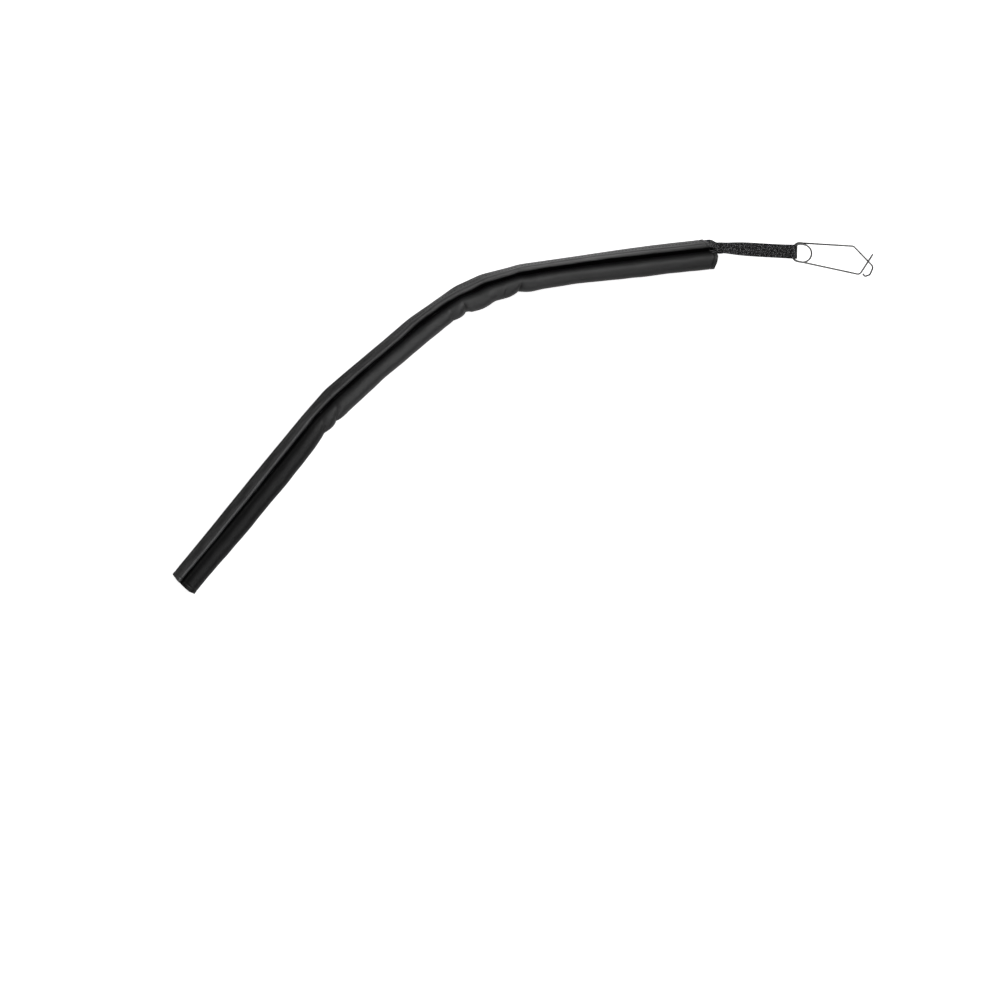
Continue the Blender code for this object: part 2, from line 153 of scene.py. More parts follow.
# %% [markdown]
# The floor and the room behind it are pale, but black cloth would mirror them as gray. So both get most of
# their brightness only in what the camera sees directly, which also keeps the shadows faint.

# %% Floor and room
FLOOR_SIZE = 12.0
FLOOR_DEPTH = 0.05 * MM
FLOOR_COLOR = (0.92, 0.92, 0.92, 1.0)
FLOOR_ROUGHNESS = 0.9
WHITE = (1.0, 1.0, 1.0, 1.0)
FLOOR_GLOW = 0.78
ROOM_GLOW = 0.9
ROOM_LIGHT = 0.07

bpy.ops.mesh.primitive_plane_add(size=FLOOR_SIZE, location=(0, 0, -FLOOR_DEPTH))
floor = bpy.context.object
floor.name = "studio_floor"
floor_finish = bpy.data.materials.new("studio_floor")
floor_finish.use_nodes = True
floor_shader = floor_finish.node_tree.nodes["Principled BSDF"]
floor_shader.inputs["Base Color"].default_value = FLOOR_COLOR
floor_shader.inputs["Roughness"].default_value = FLOOR_ROUGHNESS
floor_shader.inputs["Emission Color"].default_value = WHITE
room = bpy.data.worlds.new("studio")
room.use_nodes = True
room_shader = room.node_tree.nodes["Background"]
room_shader.inputs["Color"].default_value = WHITE
for owner, glow, rest, socket in (
    (floor_finish, FLOOR_GLOW, 0.0, floor_shader.inputs["Emission Strength"]),
    (room, ROOM_GLOW, ROOM_LIGHT, room_shader.inputs["Strength"]),
):
    seen = owner.node_tree.nodes.new("ShaderNodeLightPath")
    chosen = owner.node_tree.nodes.new("ShaderNodeMapRange")
    chosen.inputs["To Min"].default_value = rest
    chosen.inputs["To Max"].default_value = glow
    owner.node_tree.links.new(seen.outputs["Is Camera Ray"], chosen.inputs["Value"])
    owner.node_tree.links.new(chosen.outputs["Result"], socket)
floor.data.materials.append(floor_finish)
floor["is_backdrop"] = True
bpy.context.scene.world = room
bpy.context.scene.view_settings.view_transform = "Standard"
bpy.ops.object.select_all(action="DESELECT")

# %% [markdown]
# Everything on the sleeve is placed by how far along its outer fold it is, counted from the strap end, and
# how far across. The frame's joints say where the fold turns. Real cloth turns a corner over a few
# millimetres, so the fold's direction changes by a smooth step round each crease, and adding up small steps
# in that direction gives the line.

# %% The fold's line
CREASE_REACH = 5.0 * MM
LINE_STEP = 0.25 * MM
LINE_OVERRUN = 12.0 * MM

joints = {joint["name"]: joint for joint in frame["joints"]}
peel_joints = [joints["flap_peel_" + str(n)] for n in range(1, 6)]
headings = [math.atan2(-joint["axis"][1], -joint["axis"][0]) for joint in peel_joints]
first_outwards = np.array((-math.sin(headings[0]), math.cos(headings[0])))
mouth_corner = np.array(peel_joints[0]["pos_m"][:2]) + first_outwards * FOLD_RADIUS
crease_places = [np.array(joints["crease_" + str(n)]["pos_m"][:2]) for n in range(1, 5)]

panel_starts = [0.0]
for before, after in zip([mouth_corner, *crease_places], crease_places):
    panel_starts.append(panel_starts[-1] + float(np.linalg.norm(after - before)))
creases = panel_starts[1:]
last_along = -np.array((math.cos(headings[-1]), math.sin(headings[-1])))
last_sheet = np.array([vertex.co.xy for vertex in frame["nodes"]["sleeve_sheet_5"].data.vertices])
sleeve_length = creases[-1] + float(((last_sheet - crease_places[-1]) @ last_along).max())
print("creases at", [round(s / MM) for s in creases], "mm, sleeve", round(sleeve_length / MM), "mm long")

line_s = np.arange(-LINE_OVERRUN, sleeve_length + LINE_OVERRUN, LINE_STEP)
line_heading = np.full_like(line_s, headings[0])
for crease, before, after in zip(creases, headings, headings[1:]):
    line_heading += (after - before) * smooth((line_s - crease) / (2 * CREASE_REACH) + 0.5)
line_start = mouth_corner + LINE_OVERRUN * np.array((math.cos(headings[0]), math.sin(headings[0])))
line_x = line_start[0] - np.concatenate(([0], np.cumsum(np.cos(line_heading[:-1])))) * LINE_STEP
line_y = line_start[1] - np.concatenate(([0], np.cumsum(np.sin(line_heading[:-1])))) * LINE_STEP

# %% [markdown]
# The sleeve's two ends aren't cut square. At the mouth the outer corner is cut off at a slant, and the
# belly's end is drawn back where it curves under. So a row of points near an end is shifted along by its
# own end's outline, and the shift fades out further in.

# %% From the sleeve's own directions to the world
MOUTH_OUTLINE = (
    (0, 11.4), (1.8, 8.9), (3, 7.6), (5.5, 6.6), (7.6, 4.6), (9, 3.0), (10.2, 2.2), (12.4, 2.0),
    (15.6, 1.7), (19.9, 3.0), (22, 4.2), (24.4, 5.6),
)
LOWER_OUTLINE = ((0, -1.2), (10, 0.2), (20.5, 0.5), (23.5, -0.3))
MOUTH_FADE = 34.0 * MM
LOWER_FADE = 20.0 * MM


def end_shift(along, across):
    """How far a point is shifted along the sleeve, so that the ends get their outlines."""
    inwards = -across / MM
    mouth = np.interp(inwards, *zip(*MOUTH_OUTLINE)) * MM
    lower = np.interp(inwards, *zip(*LOWER_OUTLINE)) * MM
    near_mouth = 1 - smooth(along / MOUTH_FADE)
    near_lower = smooth(1 - (sleeve_length - along) / LOWER_FADE)
    return mouth * near_mouth + lower * near_lower


def to_world(along, across, height):
    """A point of the sleeve, across counted outwards from the fold's line."""
    along = along + end_shift(along, across)
    heading = np.interp(along, line_s, line_heading)
    x = np.interp(along, line_s, line_x) - np.sin(heading) * across
    y = np.interp(along, line_s, line_y) + np.cos(heading) * across
    return np.stack([x, y, height + 0 * x], axis=-1)


# %% [markdown]
# A soft sleeve isn't straight between its creases. Its outer edge bows, its belly swells and narrows, and
# its flap leans over more in some places than in others. Each of these is a few keys along the sleeve,
# eased into a smooth curve by a running mean with a bell-shaped window.

# %% How the sleeve swells and bows along its length
KEY_STEP = 0.5 * MM
OUTER_BOW = (
    (0, 0.3), (20, 0.5), (56, 1.3), (80, 1.3), (128, 0.9), (158, 0.8), (168, 0.3), (213, 0.3), (240, 1.6),
    (258, 2.8), (288, 1.6), (324, 0.5), (349, -0.5), (373, 0.2), (439, 0.1), (493, -0.5), (539, -0.7),
)
BELLY_EDGE = (
    (0, 24.9), (44, 23.4), (80, 22.8), (108, 21.5), (126, 21.3), (143, 21.8), (153, 22.9), (164, 21.8),
    (183, 23.9), (192, 25.0), (201, 25.8), (214, 23.7), (224, 22.2), (240, 21.1), (258, 21.5), (270, 21.8),
    (306, 23.2), (330, 25.1), (349, 26.6), (366, 24.0), (374, 23.4), (388, 24.5), (421, 25.4), (480, 25.3),
    (510, 24.6), (539, 24.4),
)
BAND_WIDTH = (
    (0, 7.8), (6, 7.7), (14, 7.5), (34, 7.6), (60, 7.3), (98, 6.3), (135, 6.4), (160, 6.9), (185, 7.8),
    (205, 8.8), (216, 8.6), (228, 7.2), (250, 7.6), (270, 8.8), (320, 8.9), (345, 9.6), (365, 8.8),
    (400, 9.3), (450, 10.0), (500, 9.9), (539, 9.3),
)


def eased(keys, reach):
    """A smooth function of the distance along the sleeve, through keys in millimetres."""
    dense = np.arange(-LINE_OVERRUN, sleeve_length + LINE_OVERRUN, KEY_STEP)
    values = np.interp(dense / MM, *zip(*keys)) * MM
    half = round(reach / KEY_STEP)
    window = np.hanning(2 * half + 3)
    padded = np.pad(values, half + 1, mode="edge")
    values = np.convolve(padded, window / window.sum(), mode="valid")
    return lambda along: np.interp(along, dense, values)


outer_bow = eased(OUTER_BOW, 7.0 * MM)
belly_edge = eased(BELLY_EDGE, 4.5 * MM)
band_width = eased(BAND_WIDTH, 8.0 * MM)
print("the belly is widest at the last crease:", round(float(belly_edge(creases[-1])) / MM, 1), "mm")

# %% [markdown]
# The flap and the tongue under it stand up together as a fin along the outer edge. The flap has the same
# width everywhere, so where it shows as a narrow band from above it stands steeply, and where the band is
# wide it leans over. We find the slope by halving: try one, measure the flap that it would need, and halve
# the range.

# %% The fin's slope
FLAP_WIDTH = 13.4 * MM
CROWN_RADIUS = 2.2 * MM
LIP_DROP = math.radians(68)
LEAST_SLOPE = math.radians(42)
MOST_SLOPE = math.radians(77)
HALVINGS = 20
SAMPLE_PLACES = (100.0 * MM, 450.0 * MM)


def fin_directions(slope):
    """Two directions, across and up: into the fin from its outer side, and up along it."""
    return np.array((-math.sin(slope), -math.cos(slope))), np.array((-math.cos(slope), math.sin(slope)))


def fin_at(along):
    """The fin's slope, the length of its straight part, and where that starts above the fold."""
    edge, band = float(outer_bow(along)), float(band_width(along))
    low, high = LEAST_SLOPE, MOST_SLOPE
    for _ in range(HALVINGS):
        slope = (low + high) / 2
        fold_part = FOLD_RADIUS * (1 - math.sin(slope))
        crown_part = CROWN_RADIUS * (math.sin(slope) + math.sin(LIP_DROP))
        straight = (band - fold_part - crown_part) / math.cos(slope)
        if straight + CROWN_RADIUS * (slope + LIP_DROP) < FLAP_WIDTH:
            low = slope
        else:
            high = slope
    foot = np.array((edge - fold_part, FOLD_RADIUS * (1 + math.cos(slope))))
    return slope, straight, foot


for along in SAMPLE_PLACES:
    print("the fin's slope at", round(along / MM), "mm:", round(math.degrees(fin_at(along)[0])), "degrees")

# %% [markdown]
# A cross-section is a line of points across and up. The flap's line runs from its lip, over the rounded
# crown, down the fin and round the fold to the ground. All of it is arcs and one straight part, and
# `resample` spreads the points evenly, so that every cross-section has the same number of them.

# %% The flap's cross-section
FLAP_POINTS = 46
CROWN_STEPS = 12
FIN_STEPS = 14
FOLD_STEPS = 14


def turned(centre, radius, start, end, steps):
    """Points round a centre, by the direction of travel: 0 is level inwards, and it rises with the angle."""
    angles = np.linspace(start, end, steps)
    return centre + radius * np.stack([np.sin(angles), np.cos(angles)], axis=1)


def run_of(line):
    """How far along a line each of its points is."""
    return np.concatenate(([0], np.cumsum(np.linalg.norm(np.diff(line, axis=0), axis=1))))


def resample(points, count):
    """The same line with evenly spaced points, and its length. Other columns go with the two of the place."""
    reach = run_of(points[:, :2])
    wanted = np.linspace(0, reach[-1], count)
    return np.stack([np.interp(wanted, reach, column) for column in points.T], axis=1), reach[-1]


def normals_of(rows):
    """The direction out of the cloth at each point of many cross-sections."""
    along = np.gradient(rows, axis=1)
    out = np.stack([-along[..., 1], along[..., 0]], axis=-1)
    return out / np.linalg.norm(out, axis=-1, keepdims=True)


def flap_line(along):
    """The flap's outer side, from its lip to the ground."""
    slope, straight, foot = fin_at(along)
    into_fin, up_fin = fin_directions(slope)
    top = foot + up_fin * straight
    crown = turned(top + into_fin * CROWN_RADIUS, CROWN_RADIUS, -LIP_DROP, slope, CROWN_STEPS)
    fin = foot + up_fin * np.linspace(straight, 0, FIN_STEPS)[1:-1, None]
    fold_centre = np.array((float(outer_bow(along)) - FOLD_RADIUS, FOLD_RADIUS))
    fold = turned(fold_centre, FOLD_RADIUS, slope, math.pi, FOLD_STEPS)
    return np.concatenate([crown, fin, fold])


line, length = resample(flap_line(SAMPLE_PLACES[0]), FLAP_POINTS)
height = float(line[:, 1].max())
print("the flap's line is", round(length / MM, 1), "mm long and stands", round(height / MM, 1), "mm high")

# %% [markdown]
# The sheet's line is longer. It runs along the ground, round the belly and over the top, drops into the
# dark valley beside the fin, climbs to a crest under the flap's crown and comes down again inside the fin,
# as the tongue that carries the loop tape. The valley is a Bezier curve. Its two directions and its handles
# each have a value for the narrowest valley and one for the widest, and the room there is says how far
# between them they are.

# %% The sheet's cross-section
SHEET_POINTS = 132
STACK = 2.3 * MM
CREST_RADIUS = 0.9 * MM
CREST_INSET = 0.8 * MM
TONGUE_END = 1.0 * MM
BELLY_SPREAD_SHARE = 0.25
VALLEY_WIDTHS = (0.5 * MM, 3.0 * MM)
VALLEY_LEAVES = (30, -20)
VALLEY_FALLS = (35, 80)
VALLEY_HANDLES = (1.1 * MM, 4.7 * MM)
FIRST_HANDLE_SHARE = 0.7
FLOOR_LAYER = 1.7 * MM
BACK_STEPS = 18
BELLY_STEPS = 70
VALLEY_STEPS = 26
CREST_STEPS = 12
TONGUE_STEPS = 12


def part_way(ends, share):
    return ends[0] + (ends[1] - ends[0]) * share


def bezier(a, b, c, d, share):
    """A point of a Bezier curve, or many, by the share of its run."""
    rest = 1 - share
    return a * rest**3 + b * 3 * rest**2 * share + c * 3 * rest * share**2 + d * share**3


def sheet_line(along):
    """The sheet's outer side from the fold to the tongue's end, with each point's angle round the belly.

    The angle is 90 degrees at the ground, 180 at the inner side and 270 on top.
    """
    edge, inner = float(outer_bow(along)), float(belly_edge(along))
    slope, straight, foot = fin_at(along)
    into_fin, up_fin = fin_directions(slope)
    radius = TUBE_RADIUS + BELLY_SPREAD_SHARE * (inner + edge - SLEEVE_WIDTH)
    centre = np.array((radius - inner, TUBE_RADIUS))
    crest = foot + up_fin * (straight - CREST_INSET) + into_fin * (STACK + CREST_RADIUS)
    room = (crest[0] - CREST_RADIUS) - (centre[0] + radius)
    share = float(np.clip((room - VALLEY_WIDTHS[0]) / (VALLEY_WIDTHS[1] - VALLEY_WIDTHS[0]), 0, 1))
    leaves, fall = (math.radians(part_way(ends, share)) for ends in (VALLEY_LEAVES, VALLEY_FALLS))
    reach = part_way(VALLEY_HANDLES, share)

    back = np.linspace((edge - FOLD_RADIUS, 0), (centre[0], 0), BACK_STEPS)[:-1]
    round_belly = np.linspace(-math.pi / 2, leaves - math.tau, BELLY_STEPS)
    belly = centre + np.stack([radius * np.cos(round_belly), TUBE_RADIUS * np.sin(round_belly)], axis=1)
    crest_turn = turned(crest, CREST_RADIUS, -fall, slope, CREST_STEPS)
    down_tube = np.array((math.sin(leaves), -math.cos(leaves))) * reach * FIRST_HANDLE_SHARE
    down_crest = np.array((-math.cos(fall), -math.sin(fall))) * reach
    shares = np.linspace(0, 1, VALLEY_STEPS)[:, None]
    valley = bezier(belly[-1], belly[-1] + down_tube, crest_turn[0] + down_crest, crest_turn[0], shares)
    valley[:, 1] = np.maximum(valley[:, 1], FLOOR_LAYER)
    down_tongue = np.linspace(straight - CREST_INSET, TONGUE_END, TONGUE_STEPS)[1:, None]
    tongue = foot + into_fin * STACK + up_fin * down_tongue
    points = np.concatenate([back, belly, valley[1:-1], crest_turn, tongue])
    angles = np.zeros(len(points))
    angles[len(back) : len(back) + len(belly)] = -np.degrees(round_belly)
    return np.column_stack([points, angles])


line, length = resample(sheet_line(SAMPLE_PLACES[0]), SHEET_POINTS)
print("the sheet's line is", round(length / MM, 1), "mm long")

# %% [markdown]
# Where the sleeve bends, the cloth on its inner side has too much length, and it gathers in sharp folds.
# Each fold is a notch that is deepest on the belly's inner side and slants towards the strap end as it
# climbs, and between two folds the cloth swells. Beside a fold the cloth is tucked under: it slopes down
# over a centimetre and comes back up in a sharp edge, and such a tuck is lit on one side and dark on the
# other. Everywhere else it has low ripples, as coated cloth does that has been rolled up. A sum of a few
# waves of unlike lengths never seems to repeat. None of this reaches the ground or the valley: each effect
# has a span round the belly, in degrees.

# %% Folds and ripples
NOTCH_REACH = 2.2 * MM
SWELL_REACH = 5.0 * MM
SWELL_SLANT = 0.4
FOLDED_SPAN = (92, 45, 305, 70)
RIPPLED_SPAN = (95, 40, 330, 50)
NOTCHES = (
    (165.6, 1.3, 0.7), (184.5, 0.5, 0.35), (219.7, 1.6, 0.4),
    (231.7, 0.7, 0.35), (360.0, 1.5, 0.9), (373.5, 0.9, 0.6),
)
TUCKS = (
    (178.0, 0.55, 12.0, 1.0), (232.5, 0.38, 10.0, 1.0), (374.3, 0.86, 11.0, 1.0), (377.0, 0.36, 3.0, 0.4),
)
TUCK_EDGE = 0.9 * MM
TUCK_FADE = 4.0 * MM
RIDGES = (((189.8, 18.1), (217.6, 12.0), 0.5), ((146.6, 14.9), (163.7, 12.5), 0.35))
RIDGE_REACH = 2.4 * MM
SWELLS = ((174.0, 0.4), (225.0, 0.8), (366.5, 0.8))
RIPPLES = (
    (71.0, 0.9, 0.2, 0.10), (37.0, -1.3, 1.7, 0.09), (23.0, 2.1, 4.1, 0.05), (15.5, -0.7, 2.9, 0.03),
)
FLAP_RIPPLE_SHARE = 0.8
FLAP_RIPPLE_STRETCH = 1.3
FLAP_RIPPLE_SHIFT = 100.0 * MM
FLAP_CALM_HEIGHT = 1.2 * MM
FLAP_CALM_REACH = 3.0 * MM


def on_belly(angles, span):
    """A mask round the belly: in from the span's first angle and out to its third, each over a reach."""
    begin, begin_reach, end, end_reach = span
    return smooth((angles - begin) / begin_reach) * smooth((end - angles) / end_reach)


def ripples(along, around):
    """Low waves, as a height. Each has a wavelength, a drift round the section, a start and a height."""
    height = 0.0
    for wavelength, drift, start, size in RIPPLES:
        height = height + size * MM * np.sin(math.tau * along / (wavelength * MM) + drift * around + start)
    return height


def sheet_relief(along, rows, angles):
    """How far each point of the sheet is moved out of the plain cross-section."""
    across = rows[..., 0]
    from_inner = across + belly_edge(along)
    folded = on_belly(angles, FOLDED_SPAN)
    relief = np.zeros(across.shape)
    for place, depth, slant in NOTCHES:
        off = np.abs(along - place * MM + slant * from_inner)
        relief -= depth * MM * np.exp(-off / NOTCH_REACH) * folded
    for place, slant, width, depth in TUCKS:
        past = along - place * MM + slant * from_inner
        ramp = np.clip(past / (width * MM) + 1, 0, 1)
        relief -= depth * MM * ramp * smooth(1 - past / TUCK_EDGE) * folded * smooth(from_inner / TUCK_FADE)
    for (start, start_in), (end, end_in), size in RIDGES:
        share = np.clip((along / MM - start) / (end - start), 0, 1)
        ridge_in, ridge_along = start_in + (end_in - start_in) * share, start + (end - start) * share
        off = np.hypot(-across - ridge_in * MM, along - ridge_along * MM)
        relief += size * MM * np.exp(-((off / RIDGE_REACH) ** 2)) * folded
    for place, size in SWELLS:
        off = along - place * MM + SWELL_SLANT * from_inner
        relief += size * MM * np.exp(-((off / SWELL_REACH) ** 2)) * folded
    return relief + ripples(along, np.radians(angles)) * on_belly(angles, RIPPLED_SPAN)


def flap_relief(along, rows, angles):
    """The flap is stretched, so it ripples less, and not at all where it meets the ground."""
    heights = rows[..., 1]
    waves = ripples(along * FLAP_RIPPLE_STRETCH + FLAP_RIPPLE_SHIFT, heights / FOLD_RADIUS)
    return FLAP_RIPPLE_SHARE * waves * smooth((heights - FLAP_CALM_HEIGHT) / FLAP_CALM_REACH)


# %% [markdown]
# Coated cloth turns lighter and shinier where hands and edges rub it: along the flap's crown, and on the
# belly round the bends. Its colour there is painted lighter, partly for that wear and partly as a painted
# highlight on the crown, the band and the belly. A mask from 0 to 1 says how much, and a material reads it
# from the mesh.

# %% How worn the cloth is, and where a highlight is painted
# Keys along the sleeve, in millimetres: how worn the cloth is, and how much painted highlight it gets.
BELLY_WEAR_AND_HIGHLIGHT = (
    (0, 0.08), (40, 0.16), (98, 0.22), (199, 0.40), (262, 0.44), (322, 0.48), (352, 0.38), (385, 0.10),
    (450, 0.0),
)
BAND_WEAR_AND_HIGHLIGHT = (
    (0, 0.5), (40, 0.65), (70, 0.9), (98, 1.0), (150, 0.95), (199, 0.5), (262, 0.22), (322, 0.0), (450, 0.1),
)
CROWN_WEAR_AND_HIGHLIGHT = (
    (0, 0.4), (40, 0.5), (98, 1.0), (199, 0.65), (262, 0.68), (322, 0.62), (400, 0.9), (539, 0.9),
)
WEAR_AND_HIGHLIGHT_SPAN = (100, 40, 320, 40)
WEAR_AND_HIGHLIGHT_CROWN_DEPTH = 1.6 * MM


def sheet_rubbed(along, rows, angles):
    """The belly is worn and painted lighter as a highlight, the valley beside the fin never is."""
    return np.interp(along / MM, *zip(*BELLY_WEAR_AND_HIGHLIGHT)) * on_belly(angles, WEAR_AND_HIGHLIGHT_SPAN)


def flap_rubbed(along, rows, angles):
    """The crown is worn and painted lighter as a highlight most, then the band under it."""
    heights = rows[..., 1]
    below_top = heights.max(axis=1, keepdims=True) - heights
    on_crown = smooth(1 - below_top / WEAR_AND_HIGHLIGHT_CROWN_DEPTH)
    band, crown = (np.interp(along / MM, *zip(*keys)) for keys in (BAND_WEAR_AND_HIGHLIGHT, CROWN_WEAR_AND_HIGHLIGHT))
    return band + (crown - band) * on_crown


# %% [markdown]
# A hem is the end of the sheet turned in and sewn down, so it is a little thicker, with a dent where the
# stitches pull. `hem_relief` adds that at both ends, and the last two functions are the whole relief of
# each piece. With its line and its number of points, that is all it takes to draw a piece's cross-section
# anywhere.

# %% Hems
HEM_WIDTH = 3.6 * MM
HEM_HEIGHT = 0.08 * MM
HEM_EASE = 0.7 * MM
STITCH_DENT = 0.32 * MM
STITCH_DENT_REACH = 0.5 * MM


def hem_relief(along):
    from_end = np.minimum(along, sleeve_length - along)
    ridge = HEM_HEIGHT * smooth((HEM_WIDTH - from_end) / HEM_EASE)
    return ridge - STITCH_DENT * np.exp(-(((from_end - HEM_WIDTH) / STITCH_DENT_REACH) ** 2))


def whole_sheet_relief(along, rows, angles):
    return sheet_relief(along, rows, angles) + hem_relief(along)


def whole_flap_relief(along, rows, angles):
    return flap_relief(along, rows, angles) + hem_relief(along)


sheet_section = (sheet_line, SHEET_POINTS, whole_sheet_relief)
flap_section = (flap_line, FLAP_POINTS, whole_flap_relief)

# %% [markdown]
# A piece of cloth starts as what it is, a flat grid. Its columns run round the sleeve and its rows along
# it, and they lie closer together near the creases and hems, where the cloth needs more points. The grid's
# points are then carried to their places on the cross-sections. The UV map keeps the flat cloth's own
# sizes, in metres, so that the weave follows the cloth, and Solidify gives it its thickness on the inner
# side.

# %% From flat cloth to wrapped cloth
ROW_SPACING = 1.3 * MM
CREASE_ROW_SPACING = 0.65 * MM
HEM_ROW_SPACING = 0.25 * MM
FINE_REACH = 22.0 * MM
HEM_REACH = 6.0 * MM
DENSE_PLACES = 2000
EDGE_ANGLE = math.radians(48)


def row_places(start, end):
    """Distances along the sleeve, closer together near the creases and closest in the hems."""
    dense = np.linspace(start, end, DENSE_PLACES)
    from_crease = np.min([np.abs(dense - crease) for crease in creases], axis=0)
    spacing = np.where(from_crease < FINE_REACH, CREASE_ROW_SPACING, ROW_SPACING)
    spacing = np.where(np.minimum(dense, sleeve_length - dense) < HEM_REACH, HEM_ROW_SPACING, spacing)
    count = np.concatenate(([0], np.cumsum(np.diff(dense) / spacing[1:])))
    return np.interp(np.linspace(0, count[-1], math.ceil(count[-1]) + 1), count, dense)


def add_cloth(name, along, flat_width, places, thickness, wear_and_highlight=None):
    """A flat grid carried to its places, with its flat sizes as UVs, and given thickness."""
    rows, columns = places.shape[:2]
    bpy.ops.mesh.primitive_grid_add(x_subdivisions=columns - 1, y_subdivisions=rows - 1, size=1)
    cloth = bpy.context.object
    cloth.name = name
    mesh = cloth.data
    mesh.name = name
    flat = np.empty(3 * len(mesh.vertices))
    mesh.vertices.foreach_get("co", flat)
    column, row = np.rint((flat.reshape(-1, 3)[:, :2] + 0.5) * (columns - 1, rows - 1)).astype(int).T
    mesh.vertices.foreach_set("co", places[row, column].ravel())
    corners = np.empty(len(mesh.loops), int)
    mesh.loops.foreach_get("vertex_index", corners)
    across = column[corners] * flat_width / (columns - 1)
    mesh.uv_layers[0].data.foreach_set("uv", np.stack([across, along[row[corners]]], axis=1).ravel())
    # The mesh keeps the mask of wear and painted highlight, for the material to read.
    if wear_and_highlight is not None:
        mesh.attributes.new("wear_and_highlight", "FLOAT", "POINT").data.foreach_set("value", wear_and_highlight[row, column])
    mesh.update()
    wall = cloth.modifiers.new("thickness", "SOLIDIFY")
    wall.thickness = thickness
    wall.offset = -1
    wall.use_even_offset = True
    bpy.ops.object.modifier_apply(modifier=wall.name)
    bpy.ops.object.shade_smooth_by_angle(angle=EDGE_ANGLE)
    cloth.select_set(False)
    return cloth


def wrapped_cloth(name, span, line_of, count, relief_of, thickness, wear_and_highlight_of=None):
    """Cloth that follows a cross-section along a stretch of the sleeve."""
    along = row_places(*span)
    lines = [resample(line_of(s), count) for s in along]
    rows = np.array([line for line, length in lines])
    flat_width = float(np.mean([length for line, length in lines]))
    places, angles = rows[..., :2], rows[..., 2] if rows.shape[-1] > 2 else 0.0
    lift = relief_of(along[:, None], places, angles)
    places = places + normals_of(places) * lift[..., None]
    world = to_world(along[:, None], places[..., 0], np.maximum(places[..., 1], 0.0))
    wear_and_highlight = None if wear_and_highlight_of is None else wear_and_highlight_of(along[:, None], rows[..., :2], angles)
    cloth = add_cloth(name, along, flat_width, world, thickness, wear_and_highlight)
    print(name, "is cut", round(flat_width / MM, 1), "by", round((span[1] - span[0]) / MM, 1), "mm,",
          len(cloth.data.polygons), "faces")
    return cloth, flat_width


# %% [markdown]
# The sheet is one piece of cloth, made in four lengths that meet in the middle of a panel.


def blend_at_crease(piece):
    """Bake the piece's place into its mesh."""
    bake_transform(piece)


middles = [(start + end) / 2 for start, end in zip(creases, creases[1:])]
sheet_ends = [0.0, *middles, sleeve_length]
sheets = []
for n in range(4):
    span = (sheet_ends[n], sheet_ends[n + 1])
    name = "sheet_" + str(n + 1)
    sheet, flat_width = wrapped_cloth(name, span, *sheet_section, SHEET_THICKNESS, sheet_rubbed)
    blend_at_crease(sheet)
    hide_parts("sleeve_sheet_" + str(n + 1))
    sheets.append(sheet)
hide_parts("sleeve_sheet_5")

# %% [markdown]
# The flap is made in five lengths, one for each panel. Each length laps a little under the next one.

# %% The flap
LAP = 6.0 * MM
LAP_DEPTH = 0.86 * MM
LAP_STEP = 0.7 * MM


def lapped_flap_relief(seam):
    """The relief of a length of flap that is pressed down from its seam on, under the next length."""
    def relief(along, rows, angles):
        return whole_flap_relief(along, rows, angles) - LAP_DEPTH * smooth((along - seam) / LAP_STEP)
    return relief


def blend_on_fold(piece):
    """Bake the piece's place into its mesh."""
    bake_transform(piece)


flap_ends = [0.0, *creases, sleeve_length]
flaps = []
for n in range(5):
    seam = flap_ends[n + 1]
    span = (flap_ends[n], seam + LAP if n < 4 else seam)
    section = (flap_line, FLAP_POINTS, lapped_flap_relief(seam))
    flap, flat_width = wrapped_cloth("flap_" + str(n + 1), span, *section, FLAP_THICKNESS, flap_rubbed)
    blend_on_fold(flap)
    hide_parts("closure_flap_" + str(n + 1))
    flaps.append(flap)

# %% [markdown]
# Hook and loop tape closes the flap. The loop tape is sewn to the outside of the tongue, and the hook tape
# to the inside of the flap. They are hidden until the flap is peeled, and they stop short of the strap's
# sewn tail. The hook tape has a small gap at each crease, so that its lengths don't meet when the sleeve
# bends more.

# %% Hook and loop tape
TAPE_THICKNESS = 0.42 * MM
LOOP_FACE = 1.85 * MM
HOOK_FACE = 1.4 * MM
TAPE_START = 15.3 * MM
HOOK_GAP = 2.0 * MM
LOOP_SPAN = (1.5 * MM, 1.2 * MM)
HOOK_SPAN = (2.2 * MM, 0.0)
TAPE_POINTS = 10


def tape_line(along, depth, low, from_top):
    """A line inside the fin, at a depth under the flap's outer side, from its low end up."""
    slope, straight, foot = fin_at(along)
    into_fin, up_fin = fin_directions(slope)
    return foot + into_fin * depth + up_fin * np.linspace(low, straight - from_top, TAPE_POINTS)[:, None]


def loop_line(along):
    return tape_line(along, LOOP_FACE, *LOOP_SPAN)[::-1]


def hook_line(along):
    return tape_line(along, HOOK_FACE, *HOOK_SPAN)


def flat_relief(along, rows, angles):
    return np.zeros(rows.shape[:2])


def add_tape(name, start, end, line_of):
    """A length of tape, which stops short of the strap's tail."""
    span = (max(TAPE_START, start), end)
    return wrapped_cloth(name, span, line_of, TAPE_POINTS, flat_relief, TAPE_THICKNESS)[0]


loop_tapes, hook_tapes = [], []
for n in range(4):
    tape = add_tape("loop_tape_" + str(n + 1) + "_pile", sheet_ends[n], sheet_ends[n + 1], loop_line)
    loop_tapes.append(tape)
    blend_at_crease(tape)
    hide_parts("loop_tape_" + str(n + 1))
    if n == 3:
        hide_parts("loop_tape_5")
for n in range(5):
    start, end = flap_ends[n] + HOOK_GAP, flap_ends[n + 1] - HOOK_GAP
    tape = add_tape("hook_tape_" + str(n + 1) + "_hooks", start, end, hook_line)
    hook_tapes.append(tape)
    blend_on_fold(tape)
    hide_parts("hook_tape_" + str(n + 1))

# %% [markdown]
# The strap is one length of webbing, doubled through the clip's coil. Both of its ends are sewn in under
# the flap. It twists as it goes: under the flap it stands with the fin's slope, it leans over where it
# leaves the mouth and lies level at the clip. Its middle line is a Bezier curve, and the two plies run on
# both sides of it and part round the coil.

